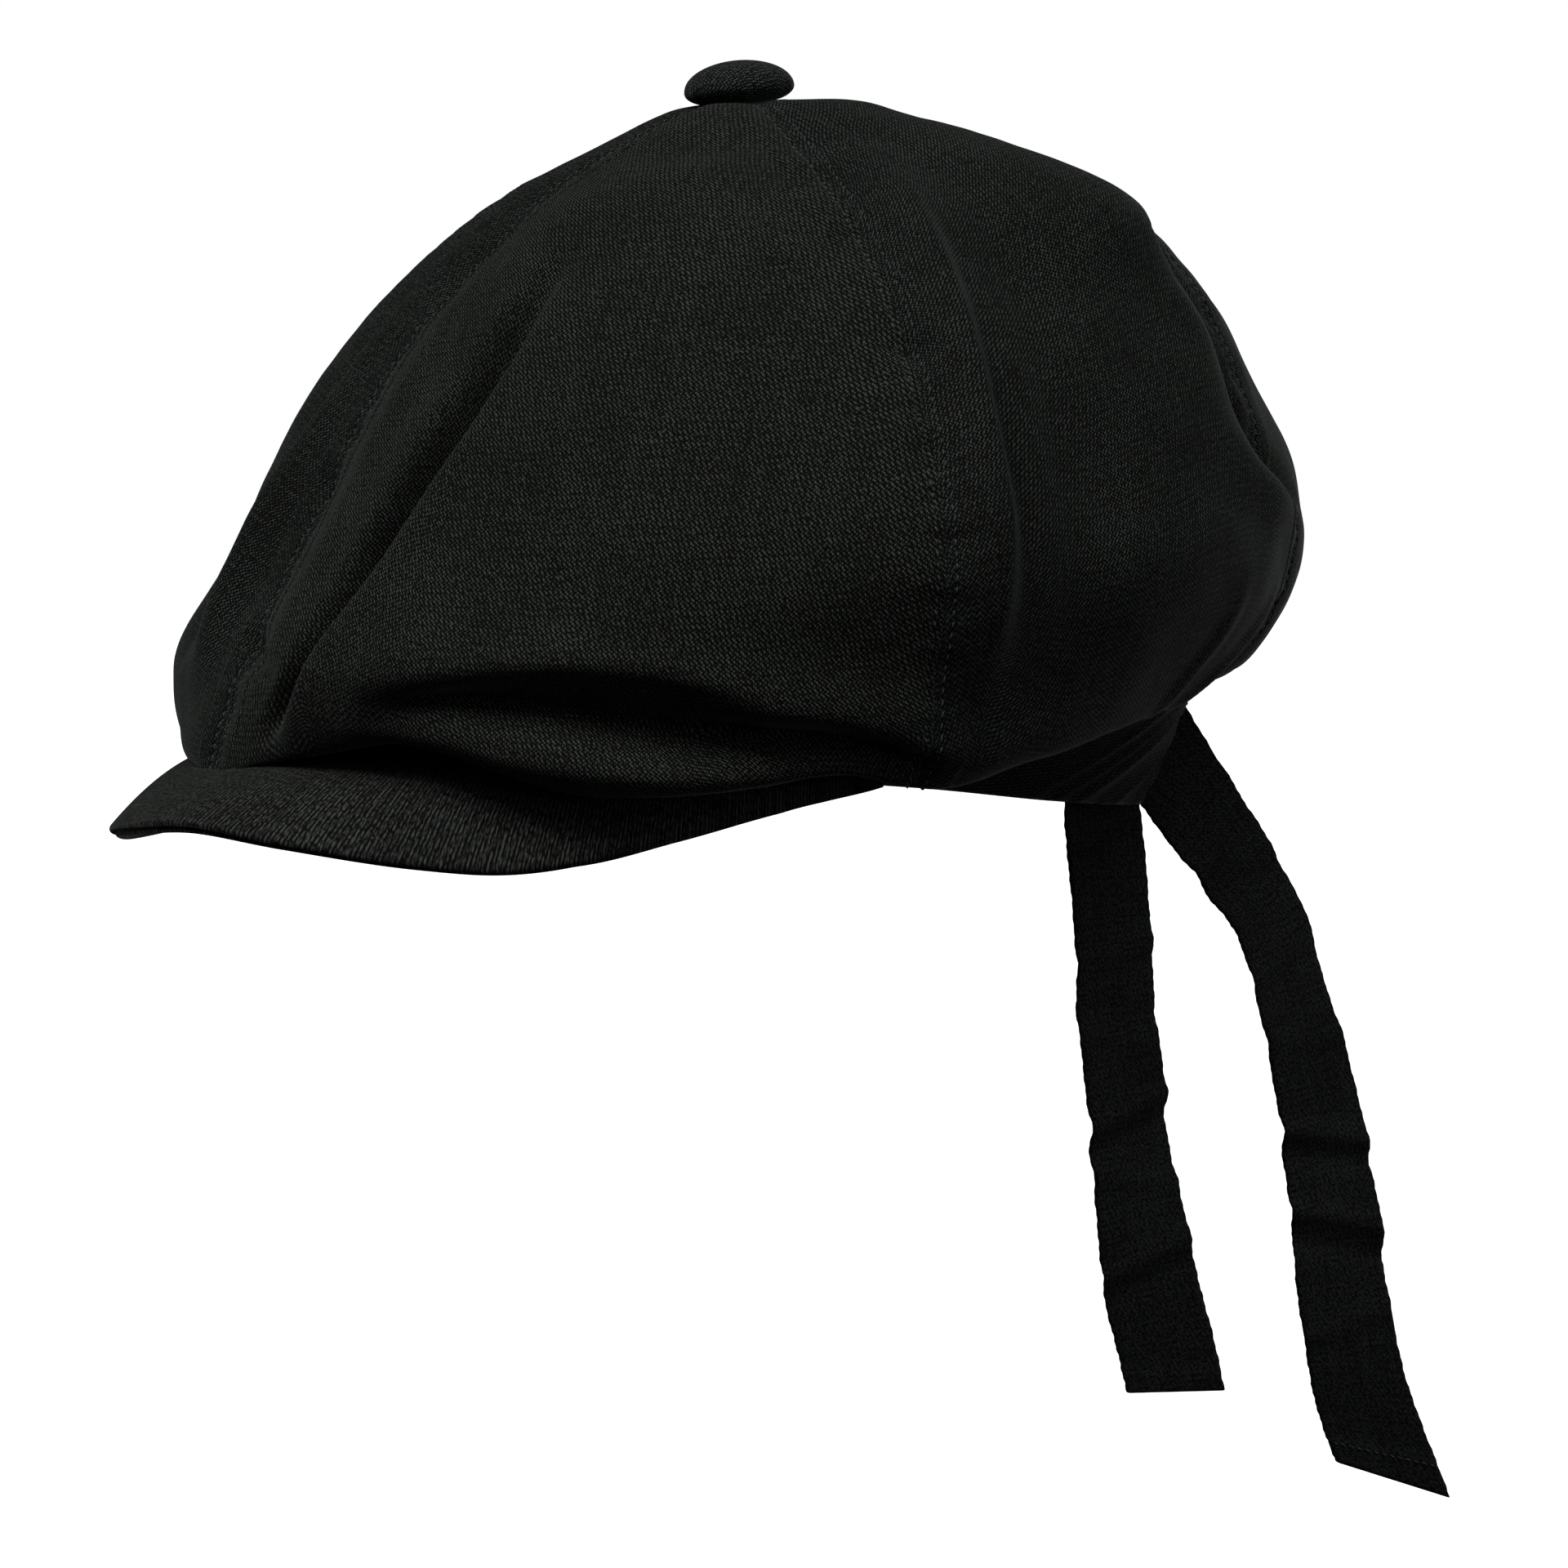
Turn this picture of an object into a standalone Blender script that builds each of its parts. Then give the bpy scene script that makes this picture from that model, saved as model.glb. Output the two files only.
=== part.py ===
"""A soft peaked sailor cap: five crown panels, a covered button, a head band, a two-layer peak and two ties.

Frame: metres, +Z up, -Y to the wearer's front, +X to the wearer's left, origin in the middle of the head opening.
Sizes below are in millimetres. Angles are in degrees about +Z, from the front (0) round the wearer's left (90)
to the back (180). A table row holds one section or one fold, and both sides of the cap read the same rows.
"""

from collections import namedtuple

import bpy
import numpy as np

MM = 0.001
RADIAN = np.pi / 180.0

# Driving sizes, in millimetres
CLOTH_WALL = 1.8
SEAM_GAP = 0.3
SEAT_GAP = 0.3
CROWN_SEAT_GAP = 0.6
APEX_HOLE_RADIUS = 3.0
APEX_HEIGHT = 150.2
BAND_HALF_WIDTH = 80.0
BAND_HALF_LENGTH = 99.0
BAND_WALL = 2.0
BAND_EDGE_SHARE = 0.04
BAND_EDGE_INSET = 0.4
PEAK_CLOTH_WALL = 1.5
PEAK_END_ANGLE = 84.0
PEAK_SEAT_RISE = 4.0
PEAK_ARCH = 1.7
PEAK_PLUMB_SHARE = 0.25
PEAK_NARROW = 6.0
PEAK_NARROW_BLEND = 15.0
PEAK_LEAST_LEVEL = 0.35
BUTTON_RADIUS = 12.4
BUTTON_DOME = 5.8
BUTTON_UNDERSIDE = 3.2
BUTTON_RIM_HEIGHT = 154.3
BUTTON_TILT = 5.5
BUTTON_UNDER_FLAT = 6.2
BUTTON_STUB_RADIUS = 2.2
BUTTON_STUB_END = 145.5
TIE_WIDTH = 20.4
TIE_WALL = 1.5

# Seams of the crown, as angles. The panels run from one to the next.
SIDE_SEAM = 83.5
REAR_SEAM = 146.0
SEAM_VALLEY_DEPTH = 1.3
SEAM_VALLEY_WIDTH = 4.5

# Band: outline heights and how far it flares past the head oval at its lower and upper edge
BandRow = namedtuple("BandRow", "angle bottom top flare_bottom flare_top")
BAND_ROWS = (
    BandRow(0, 4.0, 31.0, 0.0, 0.0),
    BandRow(30, 4.0, 31.0, 0.0, 0.0),
    BandRow(60, 3.0, 29.0, 0.0, 0.5),
    BandRow(90, 0.0, 25.5, -0.5, 2.0),
    BandRow(120, -4.5, 22.5, -2.5, 4.5),
    BandRow(150, -7.5, 21.5, -5.5, 6.5),
    BandRow(180, -8.0, 21.5, -6.5, 7.0),
)
GATHERS_AROUND = 24
GATHER_HEIGHT = 1.0
GATHERS_START = 88.0
GATHERS_FULL = 118.0

# Crown sections: height at 15 and 35 mm from the axis, then the radius at named heights, then the lowest point
# of the overhang and the height at which the cloth meets the band.
SHOULDER_RADII = (15.0, 35.0)
SECTION_HEIGHTS = (126.0, 108.0, 90.0, 70.0, 46.0, 24.0)
CrownRow = namedtuple(
    "CrownRow", "angle z_r15 z_r35 r_z126 r_z108 r_z90 r_z70 r_z46 r_z24 hang_r hang_z join_z"
)
CROWN_ROWS = (
    CrownRow(0.0, 147.0, 136.4, 50.5, 68.0, 84.0, 97.0, 109.5, 121.5, 122.5, 3.5, 29.5),
    CrownRow(27.0, 148.4, 138.6, 59.0, 79.0, 93.0, 105.0, 117.0, 127.3, 116.0, 6.5, 29.5),
    CrownRow(55.0, 148.6, 139.5, 62.0, 83.0, 98.0, 111.0, 120.0, 121.5, 111.0, 0.0, 27.0),
    CrownRow(83.5, 148.8, 140.0, 61.0, 84.5, 98.5, 111.0, 116.5, 112.5, 106.5, 4.0, 22.0),
    CrownRow(105.0, 150.5, 146.5, 78.0, 94.0, 105.0, 113.0, 118.5, 112.5, 104.5, 9.5, 17.0),
    CrownRow(128.0, 152.0, 149.5, 92.0, 103.5, 113.0, 119.5, 123.5, 112.0, 104.5, 15.0, 16.0),
    CrownRow(146.0, 152.0, 148.0, 86.5, 102.0, 111.0, 120.0, 126.0, 113.0, 107.0, 18.2, 17.2),
    CrownRow(163.0, 152.0, 148.0, 86.5, 103.0, 117.0, 127.0, 128.0, 115.0, 110.0, 18.8, 17.6),
    CrownRow(180.0, 152.0, 147.5, 85.5, 103.0, 116.0, 126.0, 128.0, 116.0, 111.5, 18.8, 17.6),
)

# A fold's ends fade out, and its bell is measured on a cylinder of this radius
FOLD_RADIUS = 115.0
FOLD_TIP = 0.12
FOLD_BODY = 0.7

# Folds end at the overhang's lowest point, over this many stations, and near the button, over these radii
RELIEF_END_BLEND = 0.8
RELIEF_INNER_RADII = (10.0, 30.0)
SEAM_FULL_RADIUS = 40.0

# Where the cloth meets the band above its lowest point it runs up the band's face; elsewhere it arrives level.
STEEP_JOIN_RISE = 10.0
LAP_SHARE_STEEP = 0.12
LAP_SHARE_LEVEL = 0.45
LAP_RISE = 0.33

# Folds of the crown cloth: a line from one end to the other, bowed sideways at its middle (degrees), with the
# half width and the height of the fold. Minus is a valley and plus a ridge.
Fold = namedtuple("Fold", "angle_a z_a angle_b z_b bow width height")
CROWN_FOLDS = (
    Fold(31.0, 106.0, 9.5, 17.0, 1.5, 10.0, -8.0),  # crease beside the front seam
    Fold(9.0, 116.0, 5.0, 30.0, 0.0, 7.0, 3.0),  # raised strip between crease and front seam
    Fold(36.0, 66.0, 20.0, 18.0, 0.0, 10.0, 2.5),  # roll behind the crease
    Fold(32.0, 21.0, 76.0, 22.0, 0.0, 9.0, -7.0),  # hollow above the lower roll
    Fold(36.0, 6.0, 72.0, 5.0, 0.0, 7.0, 4.0),  # lower roll over the peak
    Fold(93.0, 138.0, 93.0, 60.0, 0.0, 8.0, 3.5),  # ridge behind the side seam
    Fold(134.0, 122.0, 133.0, 62.0, -4.0, 9.0, 3.5),  # ridge before the rear seam
    Fold(144.0, 104.0, 147.0, 60.0, 0.0, 8.0, -5.0),  # valley at the rear seam
)

# Peak: the outer edge's distance in front of the head oval and the height of its upper face
PeakRow = namedtuple("PeakRow", "angle reach edge")
PEAK_ROWS = (
    PeakRow(0, 45.5, -8.8),
    PeakRow(9, 44.0, -8.0),
    PeakRow(18, 38.5, -10.6),
    PeakRow(30, 27.5, -14.2),
    PeakRow(42, 18.0, -13.4),
    PeakRow(56, 9.5, -6.4),
    PeakRow(70, 4.5, 0.4),
    PeakRow(84, 2.6, 3.6),
)

# Ties: the middle line from its root to its end, the angle that the cloth faces, and how far the edge at the
# back runs ahead of the edge at the front where the tie is cut or sewn on a slant
TieRow = namedtuple("TieRow", "x y z facing slant")
TIE_LEFT_ROWS = (
    TieRow(48.5, 78.5, 10.0, 137.0, 0.0),
    TieRow(43.6, 73.4, 1.0, 126.0, 0.0),
    TieRow(38.0, 71.8, -8.0, 113.0, 0.0),
    TieRow(39.5, 72.6, -20.0, 97.0, 0.0),
    TieRow(43.0, 72.2, -33.0, 84.0, 0.0),
    TieRow(44.0, 73.7, -57.8, 80.0, 0.0),
    TieRow(44.5, 75.8, -80.2, 80.0, 0.0),
    TieRow(44.5, 78.8, -100.2, 76.0, 0.0),
    TieRow(44.5, 82.5, -119.0, 74.0, 0.0),
    TieRow(44.5, 88.5, -139.5, 74.0, 4.5),
)
TIE_RIGHT_ROWS = (
    TieRow(27.5, 94.3, 3.5, 68.0, -11.0),
    TieRow(28.0, 105.9, -12.0, 68.0, -2.0),
    TieRow(29.0, 117.4, -26.5, 70.0, 0.0),
    TieRow(30.0, 124.3, -43.0, 72.0, 0.0),
    TieRow(31.0, 130.8, -70.0, 72.0, 0.0),
    TieRow(32.0, 137.5, -98.0, 70.0, 0.0),
    TieRow(32.5, 140.5, -122.0, 68.0, 0.0),
    TieRow(33.0, 144.6, -142.0, 68.0, 10.0),
    TieRow(33.0, 150.8, -164.0, 68.0, 22.0),
)

# Mesh rows and columns
STATIONS_PER_KNOT = (2, 2, 2, 2, 2, 3, 3, 3, 4, 3, 1)
BAND_STEP_FRONT = 6.0
BAND_STEP_BACK = 3.75
PEAK_COLUMNS = 28
PEAK_STATIONS = 5
BUTTON_COLUMNS = 18
BUTTON_DOME_STEPS = 6
BUTTON_UNDER_STEPS = 3
TIE_STATIONS_PER_ROW = 2
SHARP_ANGLE = 50.0
FINE_ANGLE = 0.2
FINE_STATION = 0.02


def hermite(p1, p2, tangent1, tangent2, u):
    """Cubic from p1 to p2 with the given end tangents, u from 0 to 1."""
    return (
        (2 * u**3 - 3 * u**2 + 1) * p1
        + (u**3 - 2 * u**2 + u) * tangent1
        + (-2 * u**3 + 3 * u**2) * p2
        + (u**3 - u**2) * tangent2
    )


def around(rows, column, angle):
    """A table column as a smooth function of the angle, mirrored to the wearer's right."""
    known = np.array([row.angle for row in rows], float)
    value = np.array([getattr(row, column) for row in rows], float)
    before = known > 0
    known_all = np.concatenate([-known[before][::-1], known])
    value_all = np.concatenate([value[before][::-1], value])
    if known[-1] == 180:
        known_all = np.concatenate([known_all, 360 - known[:-1][::-1]])
        value_all = np.concatenate([value_all, value[:-1][::-1]])
    slope = np.gradient(value_all, known_all)
    at = np.clip(np.abs((np.asarray(angle, float) + 180) % 360 - 180), 0, known[-1])
    i = np.clip(np.searchsorted(known_all, at) - 1, 0, len(known_all) - 2)
    step = known_all[i + 1] - known_all[i]
    u = (at - known_all[i]) / step
    return hermite(value_all[i], value_all[i + 1], slope[i] * step, slope[i + 1] * step, u)


def head_oval(angle):
    """Radius of the oval that the head fills, at an angle."""
    turn = np.asarray(angle, float) * RADIAN
    return 1 / np.sqrt((np.sin(turn) / BAND_HALF_WIDTH) ** 2 + (np.cos(turn) / BAND_HALF_LENGTH) ** 2)


def outward(angle):
    """Unit vector that leaves the axis level at an angle."""
    turn = np.asarray(angle, float) * RADIAN
    return np.stack([np.sin(turn), -np.cos(turn), np.zeros_like(turn)], -1)


def placed(angle, radius, height):
    """Points at cylinder coordinates."""
    return outward(angle) * np.asarray(radius)[..., None] + np.asarray(height)[..., None] * [0, 0, 1]


def band_radius(angle, rise):
    """Inner radius of the band at a share of its height, 0 at the lower edge and 1 at the upper one."""
    low = around(BAND_ROWS, "flare_bottom", angle)
    high = around(BAND_ROWS, "flare_top", angle)
    return head_oval(angle) + low + (high - low) * rise


def gathers(angle):
    """The band is drawn up in small gathers round the back."""
    side = np.abs((angle + 180) % 360 - 180)
    share = np.clip((side - GATHERS_START) / (GATHERS_FULL - GATHERS_START), 0, 1)
    return -GATHER_HEIGHT * share * (1 + np.cos(GATHERS_AROUND * side * RADIAN)) / 2


def band_height(angle, rise):
    low = around(BAND_ROWS, "bottom", angle)
    return low + (around(BAND_ROWS, "top", angle) - low) * rise


def band_face(angle, height):
    """Radius of the band's outer face at a height, without its gathers."""
    low = band_height(angle, 0.0)
    return band_radius(angle, (height - low) / (band_height(angle, 1.0) - low)) + BAND_WALL


def crown_knots(angle):
    """Knots of the crown's profile at each angle, from the apex to the band: radius and height."""
    radii = [0 * angle]
    heights = [0 * angle + APEX_HEIGHT]
    for radius, column in zip(SHOULDER_RADII, ("z_r15", "z_r35")):
        radii.append(0 * angle + radius)
        heights.append(around(CROWN_ROWS, column, angle))
    for height in SECTION_HEIGHTS:
        radii.append(around(CROWN_ROWS, f"r_z{height:.0f}", angle))
        heights.append(0 * angle + height)
    hang_radius = around(CROWN_ROWS, "hang_r", angle)
    hang_height = around(CROWN_ROWS, "hang_z", angle)
    join_height = around(CROWN_ROWS, "join_z", angle)
    join_radius = band_face(angle, join_height + CLOTH_WALL) + CROWN_SEAT_GAP
    steep = np.clip((join_height - hang_height) / STEEP_JOIN_RISE, 0, 1)
    lap_share = LAP_SHARE_LEVEL + (LAP_SHARE_STEEP - LAP_SHARE_LEVEL) * steep
    radii += [hang_radius, join_radius + lap_share * (hang_radius - join_radius), join_radius]
    heights += [hang_height, join_height + LAP_RISE * (hang_height - join_height), join_height]
    return np.stack(radii), np.stack(heights)


HANG_KNOT = 1 + len(SHOULDER_RADII) + len(SECTION_HEIGHTS)
LAST_KNOT = HANG_KNOT + 2


def profile(angle, station):
    """Radius and height on the crown's profile. The station counts knots, 0 at the apex."""
    radii, heights = crown_knots(angle)
    mirrored = np.stack([-radii[1], heights[1]])
    beyond = np.stack([2 * radii[-1] - radii[-2], 2 * heights[-1] - heights[-2]])
    knots = np.stack([radii, heights], 1)
    knots = np.concatenate([mirrored[None], knots, beyond[None]])
    i = np.clip(np.floor(station).astype(int), 0, LAST_KNOT - 1)
    u = station - i
    p0, p1, p2, p3 = (np.take_along_axis(knots, (i + k)[None, None], 0)[0] for k in range(4))
    d0, d1, d2 = (np.sqrt(np.hypot(*(b - a))) + 1e-9 for a, b in ((p0, p1), (p1, p2), (p2, p3)))
    tangent1 = d1 * ((p1 - p0) / d0 - (p2 - p0) / (d0 + d1) + (p2 - p1) / d1)
    tangent2 = d1 * ((p2 - p1) / d1 - (p3 - p1) / (d1 + d2) + (p3 - p2) / d2)
    return hermite(p1, p2, tangent1, tangent2, u)


def fold_relief(angle, radius, height):
    """Height of all folds at a place on the crown: each is a bell across its line that fades at both ends."""
    side = np.abs((angle + 180) % 360 - 180)
    relief = np.zeros_like(side)
    for fold in CROWN_FOLDS:
        reference = FOLD_RADIUS * RADIAN
        run = np.array([(fold.angle_b - fold.angle_a) * reference, fold.z_b - fold.z_a])
        from_a = np.stack([(side - fold.angle_a) * reference, height - fold.z_a], -1)
        along = np.clip(from_a @ run / (run @ run), 0, 1)
        line_angle = fold.angle_a + (fold.angle_b - fold.angle_a) * along + fold.bow * 4 * along * (1 - along)
        line_height = fold.z_a + (fold.z_b - fold.z_a) * along
        across = np.hypot((side - line_angle) * RADIAN * radius, height - line_height)
        fade = np.sin(np.pi * (FOLD_TIP + (1 - 2 * FOLD_TIP) * along)) ** FOLD_BODY
        relief += fold.height * fade * np.exp(-((across / fold.width) ** 2))
    return relief


def seam_relief(angle, radius):
    """The cloth dips along each seam."""
    side = np.abs((angle + 180) % 360 - 180)
    relief = np.zeros_like(side)
    for seam in (0.0, SIDE_SEAM, REAR_SEAM):
        across = (side - seam) * RADIAN * radius
        relief -= SEAM_VALLEY_DEPTH * np.exp(-((across / SEAM_VALLEY_WIDTH) ** 2))
    return relief * np.clip(radius / SEAM_FULL_RADIUS, 0, 1)


def smooth_normals(points_at, a, b, step_a, step_b):
    """Unit normals of a surface of two parameters, from central differences."""
    along_a = points_at(a + step_a, b) - points_at(a - step_a, b)
    along_b = points_at(a, b + step_b) - points_at(a, b - step_b)
    normal = np.cross(along_b, along_a)
    return normal / np.linalg.norm(normal, axis=-1, keepdims=True)


def crown_plain(angle, station):
    """The crown without folds."""
    return placed(angle, *profile(angle, np.clip(station, 0, LAST_KNOT)))


def crown_surface(angle, station):
    """The outer face of the crown, with its folds and seam valleys."""
    station = np.clip(station, 0, LAST_KNOT)
    radius, height = profile(angle, station)
    end_fade = np.clip((HANG_KNOT - station) / RELIEF_END_BLEND + 0.5, 0, 1)
    first, full = RELIEF_INNER_RADII
    fade = end_fade * np.clip((radius - first) / (full - first), 0, 1)
    relief = (fold_relief(angle, radius, height) + seam_relief(angle, radius)) * fade
    normal = smooth_normals(crown_plain, angle, station, FINE_ANGLE, FINE_STATION)
    return crown_plain(angle, station) + normal * relief[..., None]


def new_object(name, vertices, faces, material):
    """A smooth-shaded mesh object from points in millimetres."""
    mesh = bpy.data.meshes.new(name)
    mesh.from_pydata((np.asarray(vertices) * MM).tolist(), [], faces)
    mesh.validate()
    mesh.shade_smooth()
    mesh.set_sharp_from_angle(angle=SHARP_ANGLE * RADIAN)
    mesh.materials.append(material)
    piece = bpy.data.objects.new(name, mesh)
    bpy.context.scene.collection.objects.link(piece)
    return piece


def grid_faces(rows, columns, first, flip=False, wrap=False):
    """Four-sided faces of a grid whose points are numbered row by row."""
    faces = []
    for i in range(rows if wrap else rows - 1):
        for j in range(columns - 1):
            a, b = first + i * columns + j, first + i * columns + j + 1
            d, c = first + (i + 1) % rows * columns + j, first + (i + 1) % rows * columns + j + 1
            faces.append((a, d, c, b) if flip else (a, b, c, d))
    return faces


def walled_sheet(outer, inner):
    """Vertices and faces of a closed sheet between two grids, whose faces point outwards."""
    rows, columns = outer.shape[:2]
    count = rows * columns
    vertices = np.concatenate([outer.reshape(-1, 3), inner.reshape(-1, 3)])
    faces = grid_faces(rows, columns, 0) + grid_faces(rows, columns, count, flip=True)
    rim = [i * columns for i in range(rows)]
    rim += [(rows - 1) * columns + j for j in range(1, columns)]
    rim += [i * columns + columns - 1 for i in range(rows - 2, -1, -1)]
    rim += [j for j in range(columns - 2, 0, -1)]
    for k, a in enumerate(rim):
        b = rim[(k + 1) % len(rim)]
        faces.append((a, b, b + count, a + count))
    return vertices, faces


def cloth(name, colour, roughness):
    """A dark matt cloth."""
    material = bpy.data.materials.new(name)
    material.use_nodes = True
    shader = material.node_tree.nodes["Principled BSDF"]
    shader.inputs["Base Color"].default_value = (*colour, 1)
    shader.inputs["Roughness"].default_value = roughness
    shader.inputs["Metallic"].default_value = 0.0
    return material


def crown_panel(name, start, end, columns, material):
    """One gore of the crown, walled, from the apex hole to the band, half a seam gap short of each seam."""
    share = np.linspace(0, 1, columns + 1)[:, None]
    stations = [knot + step / count for knot, count in enumerate(STATIONS_PER_KNOT) for step in range(count)]
    stations = np.array(stations + [LAST_KNOT])
    stations[0] = APEX_HOLE_RADIUS / SHOULDER_RADII[0]
    station = stations[None, :] + 0 * share
    middle = (start + end) / 2 + 0 * share + 0 * station
    radius = np.maximum(profile(middle, station)[0], APEX_HOLE_RADIUS / 2)
    inset = SEAM_GAP / 2 / radius / RADIAN
    angle = (start + inset) + (end - start - 2 * inset) * share
    outer = crown_surface(angle, station)
    inner = outer - smooth_normals(crown_surface, angle, station, 3 * FINE_ANGLE, 4 * FINE_STATION) * CLOTH_WALL
    return new_object(name, *walled_sheet(outer, inner), material)


def band(name, material):
    """The head band: a ring of cloth, wider at its upper edge towards the back."""
    back = np.arange(90, 270, BAND_STEP_BACK)
    angle = np.concatenate([np.arange(-90, 90, BAND_STEP_FRONT), back])[:, None]
    rises = np.array([0.0, BAND_EDGE_SHARE, 0.5, 1 - BAND_EDGE_SHARE, 1.0])
    inset = np.array([BAND_EDGE_INSET, 0.0, 0.0, 0.0, BAND_EDGE_INSET])
    rise = np.concatenate([rises, rises[::-1]])[None, :]
    depth = np.concatenate([BAND_WALL - inset, inset[::-1]])[None, :]
    radius = band_radius(angle, rise) + depth + gathers(angle) * (depth > BAND_WALL / 2)
    section = placed(angle + 0 * rise, radius, band_height(angle, rise))
    rows, columns = section.shape[:2]
    faces = []
    for i in range(rows):
        for j in range(columns):
            a, b = i * columns + j, i * columns + (j + 1) % columns
            d, c = (i + 1) % rows * columns + j, (i + 1) % rows * columns + (j + 1) % columns
            faces.append((a, d, c, b))
    return new_object(name, section.reshape(-1, 3), faces, material)


def peak_surface(angle, share):
    """Upper face of the peak: it leaves the band and arches down to the outer edge."""
    reach = around(PEAK_ROWS, "reach", angle)
    seat = band_height(angle, 0.0) + PEAK_SEAT_RISE
    start = band_face(angle, seat) + SEAT_GAP
    edge = around(PEAK_ROWS, "edge", angle)
    return placed(angle, start + reach * share, seat + (edge - seat) * np.maximum(share, 0) ** PEAK_ARCH)


def peak_layer(name, depth, wall, material):
    """One cloth of the peak, a given depth under its upper face: plumb by the band, square to it further out."""
    angle = np.linspace(-PEAK_END_ANGLE, PEAK_END_ANGLE, PEAK_COLUMNS + 1)[:, None]
    share = np.linspace(0, 1, PEAK_STATIONS + 1)[None, :]
    angle, share = np.broadcast_arrays(angle, share)
    upper = peak_surface(angle, share)
    normal = smooth_normals(peak_surface, angle, share, FINE_ANGLE, FINE_STATION)
    plumb = np.array([0.0, 0.0, -1.0]) / np.maximum(normal[..., 2:], PEAK_LEAST_LEVEL)
    reach = around(PEAK_ROWS, "reach", angle)
    steer = np.clip(share / PEAK_PLUMB_SHARE, 0, 1) * np.clip((reach - PEAK_NARROW) / PEAK_NARROW_BLEND, 0, 1)
    inward = plumb * (1 - steer[..., None]) - normal * steer[..., None]
    outer = upper + inward * depth
    inner = upper + inward * (depth + wall)
    return new_object(name, *walled_sheet(outer, inner), material)


def button(name, material):
    """The covered button: a tilted lens on a short stub that passes the apex hole."""
    outline = [(0.0, BUTTON_DOME)]
    for turn in np.linspace(0, 90, BUTTON_DOME_STEPS + 1)[1:] * RADIAN:
        outline.append((BUTTON_RADIUS * np.sin(turn), BUTTON_DOME * np.cos(turn)))
    for share in np.linspace(0, 1, BUTTON_UNDER_STEPS + 1)[1:]:
        radius = BUTTON_RADIUS + (BUTTON_UNDER_FLAT - BUTTON_RADIUS) * share
        outline.append((radius, -BUTTON_UNDERSIDE * (1 - (1 - share) ** 2) ** 0.5))
    outline.append((BUTTON_STUB_RADIUS, -BUTTON_UNDERSIDE))
    outline.append((BUTTON_STUB_RADIUS, BUTTON_STUB_END - BUTTON_RIM_HEIGHT))
    outline.append((0.0, BUTTON_STUB_END - BUTTON_RIM_HEIGHT))
    vertices = [(0.0, 0.0, outline[0][1])]
    turns = np.linspace(0, 360, BUTTON_COLUMNS, endpoint=False)
    for radius, height in outline[1:-1]:
        vertices += placed(turns, radius + 0 * turns, height + 0 * turns).tolist()
    vertices.append((0.0, 0.0, outline[-1][1]))
    rings = len(outline) - 2
    faces = []
    for k in range(BUTTON_COLUMNS):
        after = (k + 1) % BUTTON_COLUMNS
        faces.append((0, 1 + k, 1 + after))
        for ring in range(rings - 1):
            a, b = 1 + ring * BUTTON_COLUMNS + k, 1 + ring * BUTTON_COLUMNS + after
            faces.append((a, a + BUTTON_COLUMNS, b + BUTTON_COLUMNS, b))
        last = 1 + (rings - 1) * BUTTON_COLUMNS
        faces.append((last + k, len(vertices) - 1, last + after))
    tilt = BUTTON_TILT * RADIAN
    lean = np.array([[1, 0, 0], [0, np.cos(tilt), -np.sin(tilt)], [0, np.sin(tilt), np.cos(tilt)]])
    lens = np.array(vertices)
    above = lens[:, 2:] > -BUTTON_UNDERSIDE - BUTTON_STUB_RADIUS / 2
    lens = np.where(above, lens @ lean.T, lens) + [0, 0, BUTTON_RIM_HEIGHT]
    return new_object(name, lens, faces, material)


def curve_through(rows, columns, steps):
    """Smooth curve through table rows: every column at each of steps points between two rows."""
    points = np.array([[getattr(row, column) for column in columns] for row in rows], float)
    slope = np.gradient(points, axis=0)
    at = np.linspace(0, len(rows) - 1, (len(rows) - 1) * steps + 1)
    i = np.clip(at.astype(int), 0, len(rows) - 2)
    return hermite(points[i], points[i + 1], slope[i], slope[i + 1], (at - i)[:, None])


def tie(name, rows, material):
    """A flat tie: a strip of cloth along its middle line, turned to face the stated angle."""
    line = curve_through(rows, TieRow._fields, TIE_STATIONS_PER_ROW)
    middle, facing = line[:, :3], outward(line[:, 3])
    along = np.gradient(middle, axis=0)
    along /= np.linalg.norm(along, axis=1, keepdims=True)
    across = np.cross(along, facing)
    across /= np.linalg.norm(across, axis=1, keepdims=True)
    facing = np.cross(across, along)
    side = np.array([-0.5, 0.0, 0.5])[None, :, None]
    sheet = middle[:, None] + across[:, None] * side * TIE_WIDTH + (along * line[:, 4:])[:, None] * -side
    front = sheet + facing[:, None] * TIE_WALL / 2
    back = sheet - facing[:, None] * TIE_WALL / 2
    return new_object(name, *walled_sheet(front, back), material)


for old in list(bpy.data.objects):
    bpy.data.objects.remove(old, do_unlink=True)

crown_cloth = cloth("crown_cloth", (0.012, 0.014, 0.012), 0.9)
button_cloth = cloth("button_cloth", (0.013, 0.015, 0.013), 0.9)
band_cloth = cloth("band_cloth", (0.009, 0.010, 0.009), 0.9)
peak_cloth = cloth("peak_cloth", (0.012, 0.013, 0.012), 0.88)
tie_cloth = cloth("tie_cloth", (0.009, 0.010, 0.010), 0.85)

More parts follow.
